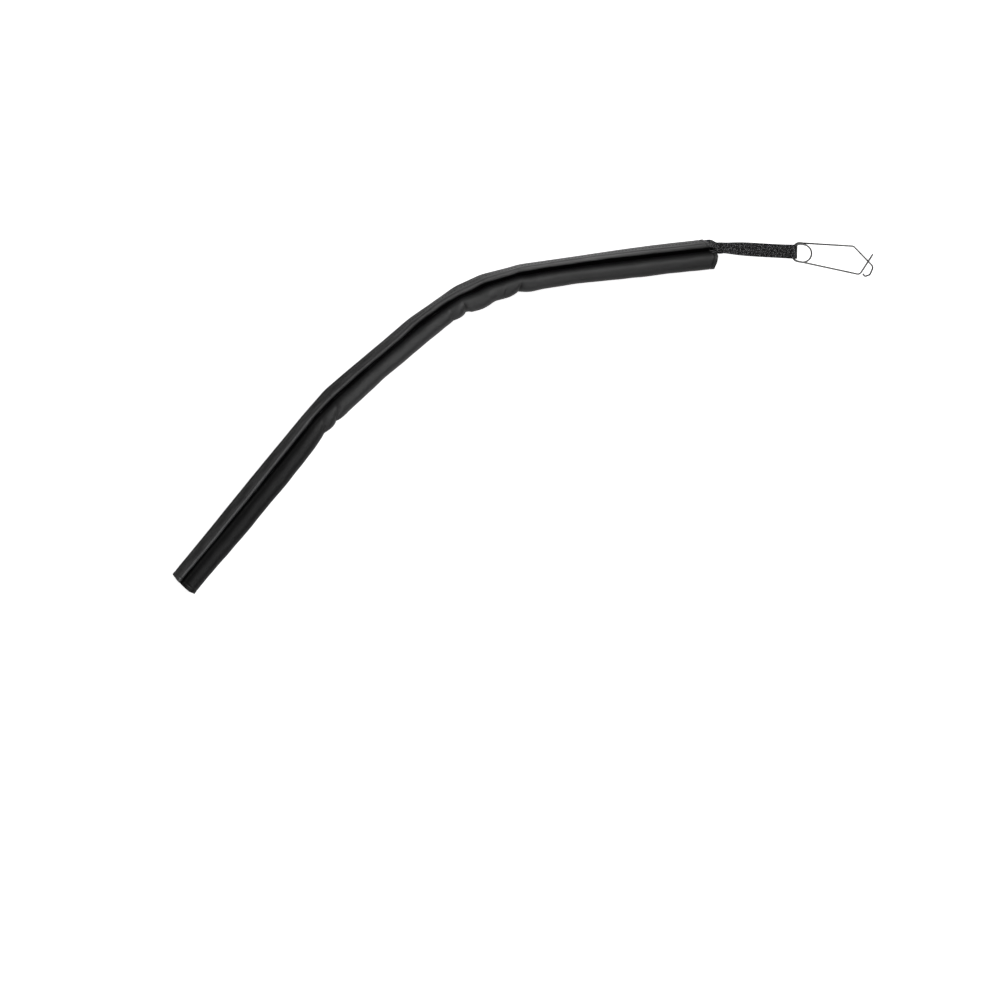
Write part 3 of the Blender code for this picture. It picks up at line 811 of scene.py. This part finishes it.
# %% The strap's line
STRAP_WIDTH = 10.9 * MM
STRAP_PLY = 0.68 * MM
STRAP_PLY_OFFSET = 0.4 * MM
STRAP_EYE_OFFSET = 2.85 * MM
STRAP_EYE_TAPER = 9.0 * MM
STRAP_END_HEADING = math.radians(-9.5)
STRAP_START_HANDLE = 3.0 * MM
STRAP_END_HANDLE = 20.0 * MM
STRAP_TAIL = 14.8 * MM
TAIL_DEPTH = 1.55 * MM
TAIL_RISE = 0.4 * MM
MOUTH_TILT = math.radians(38)
MOUTH_RISE = 5.2 * MM
MOUTH_REACH = 7.0 * MM
TWIST_START = 0.16
TWIST_END = 0.62
STRAP_STEPS = 120
STRAP_COLUMNS = 22

mouth_turn = Matrix.Rotation(headings[0], 4, "Z")
strap_start = Vector(joints["strap_flex"]["pos_m"])
strap_eye = Vector(joints["clip_swing"]["pos_m"])
strap_length = (strap_eye.xy - strap_start.xy).length
print("strap", round(strap_length / MM, 1), "mm from the mouth to its eye")


def heading_vector(angle):
    return Vector((math.cos(headings[0] + angle), math.sin(headings[0] + angle), 0))


def tail_at(along):
    """The tail's middle, direction, width's direction and normal. It follows the fin under the flap."""
    slope, straight, foot = fin_at(along)
    near_mouth = 1 - float(smooth(along / MOUTH_REACH))
    slope += (MOUTH_TILT - slope) * near_mouth
    into_fin, up_fin = fin_directions(slope)
    rise = straight / 2 + TAIL_RISE + MOUTH_RISE * near_mouth
    across, height = foot + into_fin * TAIL_DEPTH + up_fin * rise
    outwards = mouth_turn @ Vector((0, 1, 0))
    place = Vector((*mouth_corner, 0)) - heading_vector(0) * along + outwards * across + UP * height
    width = outwards * -up_fin[0] - UP * up_fin[1]
    return place, heading_vector(0), width, heading_vector(0).cross(width)


def strap_at(share):
    """The same in the open, from the tail's end to the eye. The share runs from 0 to 1."""
    start = tail_at(0.0)[0]
    into = start + heading_vector(0) * STRAP_START_HANDLE
    out = strap_eye - heading_vector(STRAP_END_HEADING) * STRAP_END_HANDLE
    rest = 1 - share
    place = bezier(start, into, out, strap_eye, share)
    along = (into - start) * rest**2 + (out - into) * 2 * rest * share + (strap_eye - out) * share**2
    along.normalize()
    tilt = MOUTH_TILT * (1 - float(smooth((share - TWIST_START) / (TWIST_END - TWIST_START))))
    level = UP.cross(along).normalized()
    width = level * math.cos(tilt) - along.cross(level) * math.sin(tilt)
    return place, along, width, along.cross(width)


# %% [markdown]
# The webbing is again a flat grid carried to its place: out along the lower ply, round the eye and back
# along the upper one. Solidify gives it thickness and a small bevel rounds its woven edges.

# %% The strap
TAIL_STEPS = 24
EYE_STEPS = 14
WEBBING_BEVEL = 0.2 * MM

upper, lower = [], []
for s in np.linspace(STRAP_TAIL, 0, TAIL_STEPS)[:-1]:
    place, along, width, normal = tail_at(float(s))
    upper.append((place + normal * STRAP_PLY_OFFSET, width))
    lower.append((place - normal * STRAP_PLY_OFFSET, width))
for share in np.linspace(0, 1, STRAP_STEPS):
    place, along, width, normal = strap_at(float(share))
    near_eye = float(smooth(1 - (1 - share) * strap_length / STRAP_EYE_TAPER))
    spread = STRAP_PLY_OFFSET + (STRAP_EYE_OFFSET - STRAP_PLY_OFFSET) * near_eye
    upper.append((place + normal * spread, width))
    lower.append((place - normal * spread, width))
eye_turn = []
for angle in np.linspace(-math.pi / 2, math.pi / 2, EYE_STEPS)[1:-1]:
    offset = along * math.cos(angle) + normal * math.sin(angle)
    eye_turn.append((strap_eye + offset * STRAP_EYE_OFFSET, width))

ribbon = [*lower, *eye_turn, *reversed(upper)]
middles_line = np.array([place for place, width in ribbon])
widths = np.array([width for place, width in ribbon])
shares = np.linspace(-0.5, 0.5, STRAP_COLUMNS)[None, :, None]
places = middles_line[:, None] + widths[:, None] * shares * STRAP_WIDTH
run = run_of(middles_line)
strap = add_cloth("webbing_strap", run, STRAP_WIDTH, places, STRAP_PLY)
print("the webbing is", round(run[-1] / MM), "mm long,", len(strap.data.polygons), "faces")

bpy.context.view_layer.objects.active = strap
bevel = strap.modifiers.new("woven edge", "BEVEL")
bevel.width = WEBBING_BEVEL
bevel.segments = 2
bevel.limit_method = "ANGLE"
bevel.angle_limit = EDGE_ANGLE
bpy.ops.object.modifier_apply(modifier=bevel.name)

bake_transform(strap)
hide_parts("strap", "strap_tail")

# %% [markdown]
# A bar tack locks the two plies where they leave the mouth: a dense zigzag of thread over a few
# millimetres. It is one bevelled curve on each side of the strap, made into a mesh. `add_wire` makes such a
# round tube through points, and rounds off its cut ends by narrowing them.

# %% A round wire or thread through points
WELD = 0.004 * MM
WIRE_EDGE_ANGLE = math.radians(60)
TIP_LENGTH_SHARE = 0.35
TIP_RADIUS_SHARE = 0.6


def select_only(pieces):
    """Select the pieces and make the first one active, as clicks would."""
    bpy.ops.object.select_all(action="DESELECT")
    for piece in pieces:
        piece.select_set(True)
    bpy.context.view_layer.objects.active = pieces[0]


def add_wire(name, lines, radius, sides):
    """One mesh of round tubes through lines of points."""
    curve = bpy.data.curves.new(name, "CURVE")
    curve.dimensions = "3D"
    curve.bevel_depth = radius
    curve.bevel_resolution = sides
    curve.use_fill_caps = True
    for points in lines:
        first, last = Vector(points[0]), Vector(points[-1])
        before = first + (Vector(points[1]) - first).normalized() * radius * TIP_LENGTH_SHARE
        after = last + (Vector(points[-2]) - last).normalized() * radius * TIP_LENGTH_SHARE
        points = [first, before, *points[1:-1], after, last]
        spline = curve.splines.new("POLY")
        spline.points.add(len(points) - 1)
        for point, place in zip(spline.points, points):
            point.co = (*place, 1)
        spline.points[0].radius = spline.points[-1].radius = TIP_RADIUS_SHARE
    wire = bpy.data.objects.new(name, curve)
    bpy.context.scene.collection.objects.link(wire)
    select_only([wire])
    bpy.ops.object.convert(target="MESH")
    wire = bpy.context.object
    bpy.ops.object.mode_set(mode="EDIT")
    bpy.ops.mesh.select_all(action="SELECT")
    bpy.ops.mesh.remove_doubles(threshold=WELD)
    bpy.ops.mesh.normals_make_consistent(inside=False)
    bpy.ops.object.mode_set(mode="OBJECT")
    bpy.ops.object.shade_smooth_by_angle(angle=WIRE_EDGE_ANGLE)
    wire.select_set(False)
    return wire


# %% The bar tack
BAR_TACK_INSET = 2.5 * MM
BAR_TACK_LENGTH = 7.0 * MM
BAR_TACK_WIDTH = 2.0 * MM
BAR_TACK_STROKES = 22
THREAD_RADIUS = 0.16 * MM
THREAD_OUT_SHARE = 0.6
THREAD_SIDES = 2

strokes = []
for side in (1, -1):
    line = []
    for i in range(2 * BAR_TACK_STROKES + 1):
        reach = BAR_TACK_INSET + BAR_TACK_WIDTH * (i % 2)
        place, along, width, normal = strap_at(reach / strap_length)
        across = BAR_TACK_LENGTH * (i / (2 * BAR_TACK_STROKES) - 0.5)
        lift = STRAP_PLY_OFFSET + STRAP_PLY / 2 + THREAD_RADIUS * THREAD_OUT_SHARE
        line.append(place + width * across + normal * lift * side)
    strokes.append(line)
bar_tack = add_wire("bar_tack_stitches", strokes, THREAD_RADIUS, THREAD_SIDES)
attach(bar_tack, "strap")
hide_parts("bar_tack")
print("bar tack of", BAR_TACK_STROKES, "strokes,", len(bar_tack.data.polygons), "faces")

# %% [markdown]
# The seams are rows of stitches. One stitch is modelled, a stretched ball pressed a little into the cloth,
# and the rows are copies of it, placed along a line and turned with it, then joined into one piece per row.

# %% One stitch and its rows
STITCH_LENGTH = 1.9 * MM
STITCH_SPACING = 2.7 * MM
STITCH_RADIUS = 0.17 * MM
STITCH_LIFT = 0.05 * MM


def add_stitches(name, line, outs, body, spacing=STITCH_SPACING):
    """A row of stitches along a line of points, lying on the side that `outs` points to."""
    line, outs = np.asarray(line), np.asarray(outs)
    reach = run_of(line)
    bpy.ops.mesh.primitive_uv_sphere_add(segments=8, ring_count=5, radius=STITCH_RADIUS)
    stitch = bpy.context.object
    bpy.ops.transform.resize(value=(STITCH_LENGTH / (2 * STITCH_RADIUS), 1, 1))
    bpy.ops.object.transform_apply(location=False, rotation=False, scale=True)
    copies, half = [], STITCH_LENGTH / 2
    for middle in np.arange(spacing / 2, reach[-1] - half, spacing):
        place, before, after, out = (
            Vector([np.interp(middle + off, reach, column) for column in points.T])
            for off, points in ((0, line), (-half, line), (half, line), (0, outs))
        )
        along = (after - before).normalized()
        side = out.cross(along).normalized()
        copy = stitch.copy()
        copy.data = stitch.data.copy()
        turn = Matrix((along, side, along.cross(side))).transposed().to_4x4()
        copy.matrix_world = Matrix.Translation(place) @ turn
        bpy.context.scene.collection.objects.link(copy)
        copies.append(copy)
    bpy.data.objects.remove(stitch)
    select_only(copies)
    bpy.ops.object.join()
    bpy.ops.object.transform_apply(location=True, rotation=True, scale=True)
    bpy.ops.object.shade_smooth()
    row = bpy.context.object
    row.name = row.data.name = name
    row.select_set(False)
    if body.startswith("flap_"):
        blend_on_fold(row)
    else:
        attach(row, body)
    return row


def section_row(section, along, least=0.0, most=1.0):
    """A line round a cross-section for stitches, and the directions out of the cloth."""
    line_of, count, relief_of = section
    rows = resample(line_of(along), count)[0][None]
    angles = rows[..., 2] if rows.shape[-1] > 2 else 0.0
    out = normals_of(rows[..., :2])
    lift = relief_of(np.array([[along]]), rows[..., :2], angles) + STITCH_LIFT
    places = rows[..., :2] + out * lift[..., None]
    keep = slice(round(count * least), round(count * most))
    place, out = places[0, keep], out[0, keep] * MM
    world = to_world(along, place[:, 0], place[:, 1])
    return world, (to_world(along, place[:, 0] + out[:, 0], place[:, 1] + out[:, 1]) - world) / MM


# %% [markdown]
# A row along a hem runs round a part of the cross-section, from one share of its length to another. Most
# rows are in black thread. The few at the mouth, where the photograph shows light stitches, are kept apart
# for their finish.

# %% Rows along the hems
FLAP_HEM_ROW = 1.2 * MM
LOWER_HEM_ROW = sleeve_length - HEM_WIDTH

seams, light_seams = [], []
for name, section, along, least, most, body, rows in (
    ("mouth_hem_sheet_stitches", sheet_section, HEM_WIDTH, 0.18, 0.72, "sleeve_1", seams),
    ("lower_hem_sheet_stitches", sheet_section, LOWER_HEM_ROW, 0.18, 0.72, "sleeve_5", seams),
    ("lower_hem_flap_stitches", flap_section, LOWER_HEM_ROW, 0.0, 0.75, "flap_5", seams),
    ("mouth_hem_flap_stitches", flap_section, FLAP_HEM_ROW, 0.0, 0.6, "flap_1", light_seams),
    ("mouth_hem_valley_stitches", sheet_section, HEM_WIDTH, 0.72, 0.86, "sleeve_1", light_seams),
):
    rows.append(add_stitches(name, *section_row(section, along, least, most), body))
print(len(seams) + len(light_seams), "rows along the hems")

# %% [markdown]
# A long seam runs the length of the flap, a few millimetres below its crown. It holds the hook tape inside.
# A short row holds the strap where it leaves the mouth.

# %% The flap's seam and the strap's stitches
SEAM_POINT = 22
SEAM_MARGIN = 4.5 * MM
SEAM_GAP = 0.6 * MM
SEAM_STEP = 2.0 * MM
STRAP_SEAM = (-1.2 * MM, 7.4 * MM)
STRAP_SEAM_STEPS = 12
STRAP_STITCH_SPACING = 2.3 * MM
STRAP_STITCH_LIFT = 0.08 * MM

for n in range(5):
    first = flap_ends[n] + (SEAM_MARGIN if n == 0 else SEAM_GAP)
    last = flap_ends[n + 1] - (SEAM_MARGIN if n == 4 else SEAM_GAP)
    line, outs = [], []
    for along in np.arange(first, last, SEAM_STEP):
        world, out = section_row(flap_section, float(along))
        line.append(world[SEAM_POINT])
        outs.append(out[SEAM_POINT])
    seams.append(add_stitches("flap_seam_stitches_" + str(n + 1), line, outs, "flap_" + str(n + 1)))

line, outs = [], []
for reach in np.linspace(*STRAP_SEAM, STRAP_SEAM_STEPS):
    place, along, width, normal = strap_at(max(0.0, float(reach)) / strap_length)
    place = place + heading_vector(0) * min(0.0, float(reach))
    line.append(place + normal * (STRAP_PLY_OFFSET + STRAP_PLY / 2 + STRAP_STITCH_LIFT))
    outs.append(normal)
light_seams.append(add_stitches("strap_seam_stitches", line, outs, "strap", STRAP_STITCH_SPACING))
rows = [*seams, *light_seams]
print(len(rows), "rows of stitches in all,", sum(len(row.data.polygons) for row in rows), "faces")

# %% [markdown]
# The clip is one spring wire: a coil and a half in the strap's eye, and two long arms whose ends cross and
# hook over each other. It is drawn as the bender makes it. The coil is a helix that is squarer inside the
# eye, and each arm is a few straight runs with rounded corners.

# %% The clip's wire
WIRE_RADIUS = 0.68 * MM
COIL_RADIUS = 7.0 * MM
COIL_START_RADIUS = 8.2 * MM
COIL_PITCH = 1.7 * MM
COIL_SQUARENESS = 3.5
CLIP_HEADING = math.radians(-18.8)
CLIP_HEIGHT = 13.3 * MM
CLIP_REACH = 57.0 * MM
CLIP_SPREAD = 13.4 * MM
WIRE_BEND_RADIUS = 3.5 * MM
UPPER_ARM_ANGLE = 97.9
LOWER_ARM_ANGLE = 629.0
MOST_BEND_SHARE = 0.45
BEND_STEPS = 14
COIL_STEP = 4.0
HIDDEN_TURNS = (-1.0, 14.0)
HIDDEN_STEP = 2.0
HIDDEN_RADIUS = 0.64 * MM
COIL_OVERLAP = 0.2
WIRE_SIDES = 6
HIDDEN_SIDES = 4
UPPER_BEND_SHARES = (
    (0.68, 1.0, 1.0), (1.005, 0.03, 0.98), (0.985, -0.46, 0.7), (0.93, -0.58, 0.28), (0.9, -0.44, 0.075),
)
LOWER_BEND_SHARES = ((0.835, -0.6, 1.0), (0.962, 0.74, 0.985), (0.967, 0.71, 0.5), (0.955, 0.5, 0.065))

coil_centre = joints["clip_squeeze"]["pos_m"]
clip_turn = Matrix.Rotation(headings[0] + CLIP_HEADING, 4, "Z")
clip_frame = Matrix.Translation((coil_centre[0], coil_centre[1], 0)) @ clip_turn


def coil_point(angle):
    """The coil is round on the jaws' side and squarer where it lies in the strap's eye."""
    shrunk = float(smooth((angle - UPPER_ARM_ANGLE) / 180.0))
    radius = COIL_START_RADIUS + (COIL_RADIUS - COIL_START_RADIUS) * shrunk
    x, y = math.cos(math.radians(angle)), math.sin(math.radians(angle))
    if x < 0:
        radius /= (abs(x) ** COIL_SQUARENESS + abs(y) ** COIL_SQUARENESS) ** (1 / COIL_SQUARENESS)
    return Vector((x * radius, y * radius, CLIP_HEIGHT + COIL_PITCH * (angle - UPPER_ARM_ANGLE) / 360.0))


def bent_wire(corners):
    """Straight runs between corners, with each inner corner rounded."""
    points = [corners[0]]
    for before, corner, after in zip(corners, corners[1:], corners[2:]):
        back, on = before - corner, after - corner
        half = back.angle(on) / 2
        reach = min(WIRE_BEND_RADIUS / math.tan(half), MOST_BEND_SHARE * min(back.length, on.length))
        start, end = corner + back.normalized() * reach, corner + on.normalized() * reach
        for step in range(BEND_STEPS + 1):
            share = step / BEND_STEPS
            points.append(start * (1 - share) ** 2 + corner * 2 * share * (1 - share) + end * share**2)
    return [*points, corners[-1]]


def arm(start, shares):
    """An arm from where it leaves the coil, with its heights as shares of the height there."""
    corners = [Vector((x * CLIP_REACH, y * CLIP_SPREAD, z * start.z)) for x, y, z in shares]
    return bent_wire([start, *corners])


coil_turns = np.arange(UPPER_ARM_ANGLE + COIL_OVERLAP, LOWER_ARM_ANGLE, COIL_STEP)
coil = [coil_point(angle) for angle in coil_turns]
lower_line = [*coil, *arm(coil_point(LOWER_ARM_ANGLE), LOWER_BEND_SHARES)]
upper_line = arm(coil_point(UPPER_ARM_ANGLE), UPPER_BEND_SHARES)
hidden_line = [coil_point(UPPER_ARM_ANGLE + turn) for turn in np.arange(*HIDDEN_TURNS, HIDDEN_STEP)]
wires = []
for name, line, radius, sides, body in (
    ("coil_and_lower_arm_wire", lower_line, WIRE_RADIUS, WIRE_SIDES, "clip"),
    ("upper_arm_wire", upper_line, WIRE_RADIUS, WIRE_SIDES, "clip_jaw"),
    ("upper_arm_coil_end", hidden_line, HIDDEN_RADIUS, HIDDEN_SIDES, "clip_jaw"),
):
    wire = add_wire(name, [[clip_frame @ point for point in line]], radius, sides)
    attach(wire, body)
    wires.append(wire)
    print(name, len(wire.data.polygons), "faces")
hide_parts("clip_coil_and_lower_arm")
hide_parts("clip_upper_arm")

# %% [markdown]
# ## Finishes
#
# Two effects are shared, so each is a node group with named inputs. `thread_grid` is the relief of crossing
# threads that shows through a coating. `wear_and_dust` is a patchy mask of where the surface has been worn.

# %% Shader groups
GRID_THREAD_WIDTH = 0.5 * MM
WEAR_VALUES = {"Patches per metre": 40.0, "Least": 0.45, "Most": 0.75}
SPECKS_PER_PATCH = 24.0
PATCH_DETAIL = 4.0
SPECK_DETAIL = 3.0


def new_group(name, values, outputs):
    """A shader group that takes a place and named values, with what it is given and what it gives."""
    group = bpy.data.node_groups.new(name, "ShaderNodeTree")
    group.interface.new_socket("Place", in_out="INPUT", socket_type="NodeSocketVector")
    for label, value in values.items():
        socket = group.interface.new_socket(label, in_out="INPUT", socket_type="NodeSocketFloat")
        socket.default_value = value
    for label in outputs:
        group.interface.new_socket(label, in_out="OUTPUT", socket_type="NodeSocketFloat")
    return group, group.nodes.new("NodeGroupInput").outputs, group.nodes.new("NodeGroupOutput").inputs


def feed(tree, node, links):
    """Link a node's inputs to sockets, or set them to values."""
    for name, value in links.items():
        if isinstance(value, bpy.types.NodeSocket):
            tree.links.new(value, node.inputs[name])
        else:
            node.inputs[name].default_value = value


def put(tree, kind, links=None, **settings):
    """A node with its settings and its inputs."""
    node = tree.nodes.new("ShaderNode" + kind)
    for name, value in settings.items():
        setattr(node, name, value)
    feed(tree, node, links or {})
    return node


def maths(tree, operation, *values):
    """The result of one calculation."""
    return put(tree, "Math", dict(enumerate(values)), operation=operation).outputs[0]


thread_grid, given, wanted = new_group("thread_grid", {"Thread width": GRID_THREAD_WIDTH}, ["Relief"])
place = put(thread_grid, "SeparateXYZ", {0: given["Place"]})
waves = []
for axis in (0, 1):
    turns = maths(thread_grid, "DIVIDE", place.outputs[axis], given["Thread width"])
    waves.append(maths(thread_grid, "SINE", maths(thread_grid, "MULTIPLY", turns, math.pi)))
thread_grid.links.new(maths(thread_grid, "MULTIPLY", *waves), wanted["Relief"])

wear_and_dust, given, wanted = new_group("wear_and_dust", WEAR_VALUES, ["Patches", "Specks"])
patch_scale = given["Patches per metre"]
speck_scale = maths(wear_and_dust, "MULTIPLY", patch_scale, SPECKS_PER_PATCH)
for label, scale, detail in (("Patches", patch_scale, PATCH_DETAIL), ("Specks", speck_scale, SPECK_DETAIL)):
    noise = put(wear_and_dust, "TexNoise", {"Vector": given["Place"], "Scale": scale, "Detail": detail})
    limits = {"Value": noise.outputs[0], "From Min": given["Least"], "From Max": given["Most"]}
    wear_and_dust.links.new(put(wear_and_dust, "MapRange", limits).outputs[0], wanted[label])
print("groups:", thread_grid.name, wear_and_dust.name)

# %% [markdown]
# Every finish starts alike, and ends by setting the shader's colour, roughness and relief. A cloth's finish
# is laid out on the flat cloth, and the others on the piece as it stands.

# %% What all finishes share
def new_finish(name, on_cloth=True):
    """A material, its tree, its shader and where each point is, flat in the cloth or in the piece."""
    finish = bpy.data.materials.new(name)
    finish.use_nodes = True
    tree = finish.node_tree
    if on_cloth:
        place = put(tree, "UVMap", uv_map="UVMap").outputs["UV"]
    else:
        place = put(tree, "TexCoord").outputs["Object"]
    return finish, tree, tree.nodes["Principled BSDF"], place


def use_group(tree, group, links):
    return put(tree, "Group", links, node_tree=group).outputs


def between(tree, low, high, share):
    """A colour between two, by a mask."""
    mix = put(tree, "Mix", data_type="RGBA")
    mix.inputs["A"].default_value = (*low, 1.0)
    mix.inputs["B"].default_value = (*high, 1.0)
    tree.links.new(share, mix.inputs["Factor"])
    return mix.outputs["Result"]


def ranged(tree, share, low, high):
    """A value between two, by a mask."""
    return put(tree, "MapRange", {"Value": share, "To Min": low, "To Max": high}).outputs[0]


def shade(tree, shader, colour, roughness, height, depth):
    """Set the shader's colour and roughness, and a relief of some depth."""
    bump = put(tree, "Bump", {"Height": height, "Distance": depth, "Strength": 1.0})
    feed(tree, shader, {"Base Color": colour, "Roughness": roughness, "Normal": bump.outputs[0]})


def dress(pieces, finish):
    for piece in pieces:
        piece.data.materials.append(finish)
    print(finish.name, "on", len(pieces), "pieces")


# %% [markdown]
# The coated fabric is almost black, and what we see is mostly its sheen. The coating fills the weave, so
# only a faint grid of threads shows, with a finer grain over it. Where the cloth is worn it shines more,
# and its colour is painted lighter, partly for the wear and partly as a painted highlight on the crown,
# the band and the belly.

# %% Coated fabric
COATING_AND_HIGHLIGHT_COLORS = ((0.0042, 0.0042, 0.0045), (0.052, 0.0523, 0.0527))
COATING_THREAD_WIDTH = 0.55 * MM
COATING_WEAR = {"Patches per metre": 46.0, "Least": 0.42, "Most": 0.72}
COATING_SHEEN = (0.36, 1.1)
COATING_ROUGHNESS = (0.44, 0.38)
SPECK_ROUGHNESS = (-0.02, 0.04)
UNEVENNESS = (0.88, 1.12)
GRAIN_SCALE = 2600.0
GRAIN_DETAIL = 3.0
GRAIN_DEPTH = 0.05 * MM
THREAD_SHARE = 0.3

finish, tree, shader, flat = new_finish("coated_fabric")
wear_and_highlight = put(tree, "Attribute", attribute_name="wear_and_highlight").outputs["Fac"]
threads = use_group(tree, thread_grid, {"Place": flat, "Thread width": COATING_THREAD_WIDTH})["Relief"]
wear = use_group(tree, wear_and_dust, {"Place": flat, **COATING_WEAR})
grain = put(tree, "TexNoise", {"Vector": flat, "Scale": GRAIN_SCALE, "Detail": GRAIN_DETAIL}).outputs[0]
wear_and_highlight = maths(tree, "MULTIPLY", wear_and_highlight, ranged(tree, wear["Patches"], *UNEVENNESS))
smoothed = ranged(tree, wear_and_highlight, *COATING_ROUGHNESS)
rough = maths(tree, "ADD", smoothed, ranged(tree, wear["Specks"], *SPECK_ROUGHNESS))
height = maths(tree, "ADD", maths(tree, "MULTIPLY", threads, THREAD_SHARE), grain)
# Painted highlight: the colour lightens with the mask, partly for wear, partly for light on the crown, band
# and belly.
shade(tree, shader, between(tree, *COATING_AND_HIGHLIGHT_COLORS, wear_and_highlight), rough, height, GRAIN_DEPTH)
tree.links.new(ranged(tree, wear_and_highlight, *COATING_SHEEN), shader.inputs["Specular IOR Level"])
dress([*sheets, *flaps], finish)

# %% [markdown]
# Loop tape is a mat of tiny loops, dull and deep black. Hook tape is a woven ground with rows of stiff
# little hooks. Both are felt more than seen, so fine noise and a dotted grid in the relief do it.

# %% Hook and loop finishes
PILE_COLORS = ((0.006, 0.006, 0.0065), (0.03, 0.03, 0.031))
PILE_ROUGHNESS = 0.95
PILE_DEPTH = 0.25 * MM
LOOPS_PER_METRE = 2200.0
HOOK_COLORS = ((0.008, 0.008, 0.009), (0.045, 0.045, 0.048))
HOOK_ROUGHNESS = 0.55
HOOK_DEPTH = 0.3 * MM
HOOK_ROW_WIDTH = 0.8 * MM

finish, tree, shader, flat = new_finish("loop_pile")
pile = put(tree, "TexVoronoi", {"Vector": flat, "Scale": LOOPS_PER_METRE}).outputs["Distance"]
shade(tree, shader, between(tree, *PILE_COLORS, pile), PILE_ROUGHNESS, pile, PILE_DEPTH)
dress(loop_tapes, finish)

finish, tree, shader, flat = new_finish("hook_weave")
dots = use_group(tree, thread_grid, {"Place": flat, "Thread width": HOOK_ROW_WIDTH})["Relief"]
shade(tree, shader, between(tree, *HOOK_COLORS, dots), HOOK_ROUGHNESS, dots, HOOK_DEPTH)
dress(hook_tapes, finish)

# %% [markdown]
# Webbing is woven in a herringbone: slanting ribs that change direction every few threads. In the cloth's
# own flat directions that is a zigzag, so we fold the across direction with a ping-pong before the ribs are
# drawn. The light specks of yarn on the ribs' crests are painted glints.

# %% Webbing
RIB_SPACING = 1.5 * MM
RIB_DEPTH = 0.25 * MM
ZIGZAG_WIDTH = 2.6 * MM
ZIGZAG_SLANT = 0.9
YARN_NOISE = {"Scale": 950.0, "Detail": 3.0}
YARN_LIMITS = {"From Min": 0.48, "From Max": 0.64}
YARN_AND_GLINT_COLORS = ((0.0015, 0.0015, 0.0017), (0.31, 0.31, 0.32))
WEBBING_ROUGHNESS = 0.8
WEBBING_SHEEN = 0.2

finish, tree, shader, flat = new_finish("webbing")
parts = put(tree, "SeparateXYZ", {0: flat}).outputs
fold = maths(tree, "PINGPONG", parts[0], ZIGZAG_WIDTH)
slant = maths(tree, "ADD", parts[1], maths(tree, "MULTIPLY", fold, ZIGZAG_SLANT))
ribs = maths(tree, "SINE", maths(tree, "MULTIPLY", slant, math.tau / RIB_SPACING))
yarn = put(tree, "TexNoise", {"Vector": flat, **YARN_NOISE}).outputs[0]
lit_yarn = put(tree, "MapRange", {"Value": yarn, **YARN_LIMITS}).outputs[0]
on_ribs = maths(tree, "MULTIPLY", maths(tree, "ADD", ribs, 1.0), 0.5)
# Painted glints: the specks on the rib crests are lighter in the colour itself.
colour = between(tree, *YARN_AND_GLINT_COLORS, maths(tree, "MULTIPLY", on_ribs, lit_yarn))
shade(tree, shader, colour, WEBBING_ROUGHNESS, maths(tree, "ADD", ribs, yarn), RIB_DEPTH)
shader.inputs["Specular IOR Level"].default_value = WEBBING_SHEEN
dress([strap], finish)

# %% [markdown]
# The threads are alike but for their colour. A fine noise stands for their twist.

# %% Threads
TWIST_NOISE = {"Scale": 5200.0, "Detail": 1.0}
TWIST_DEPTH = 0.05 * MM

for name, rows, colors, roughness in (
    ("thread", light_seams, ((0.08, 0.08, 0.085), (0.25, 0.25, 0.26)), 0.5),
    ("black_thread", [*seams, bar_tack], ((0.004, 0.004, 0.0045), (0.02, 0.02, 0.021)), 0.45),
):
    finish, tree, shader, place = new_finish(name, on_cloth=False)
    twist = put(tree, "TexNoise", {"Vector": place, **TWIST_NOISE}).outputs[0]
    shade(tree, shader, between(tree, *colors, twist), roughness, twist, TWIST_DEPTH)
    dress(rows, finish)

# %% [markdown]
# Spring wire is drawn through a die, which leaves fine lines along it and a satin shine. A little tarnish
# varies its gray.

# %% Spring steel
STEEL_COLORS = ((0.15, 0.15, 0.147), (0.09, 0.089, 0.087))
STEEL_WEAR = {"Patches per metre": 160.0, "Least": 0.4, "Most": 0.7}
STEEL_ROUGHNESS = (0.2, 0.36)
STEEL_DEPTH = 0.01 * MM

finish, tree, shader, place = new_finish("spring_steel", on_cloth=False)
wear = use_group(tree, wear_and_dust, {"Place": place, **STEEL_WEAR})
rough = ranged(tree, wear["Specks"], *STEEL_ROUGHNESS)
shade(tree, shader, between(tree, *STEEL_COLORS, wear["Patches"]), rough, wear["Specks"], STEEL_DEPTH)
shader.inputs["Metallic"].default_value = 1.0
dress(wires, finish)

# %% [markdown]
# Last, the size of the dressed sleeve is written beside that of the plain solids, so the two can be
# compared.

# %% Finish
visual_box = [list(corner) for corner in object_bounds()]
for label, box in (("solids", cad_box), ("dressed", visual_box)):
    print(label, [[round(value / MM, 1) for value in corner] for corner in box])
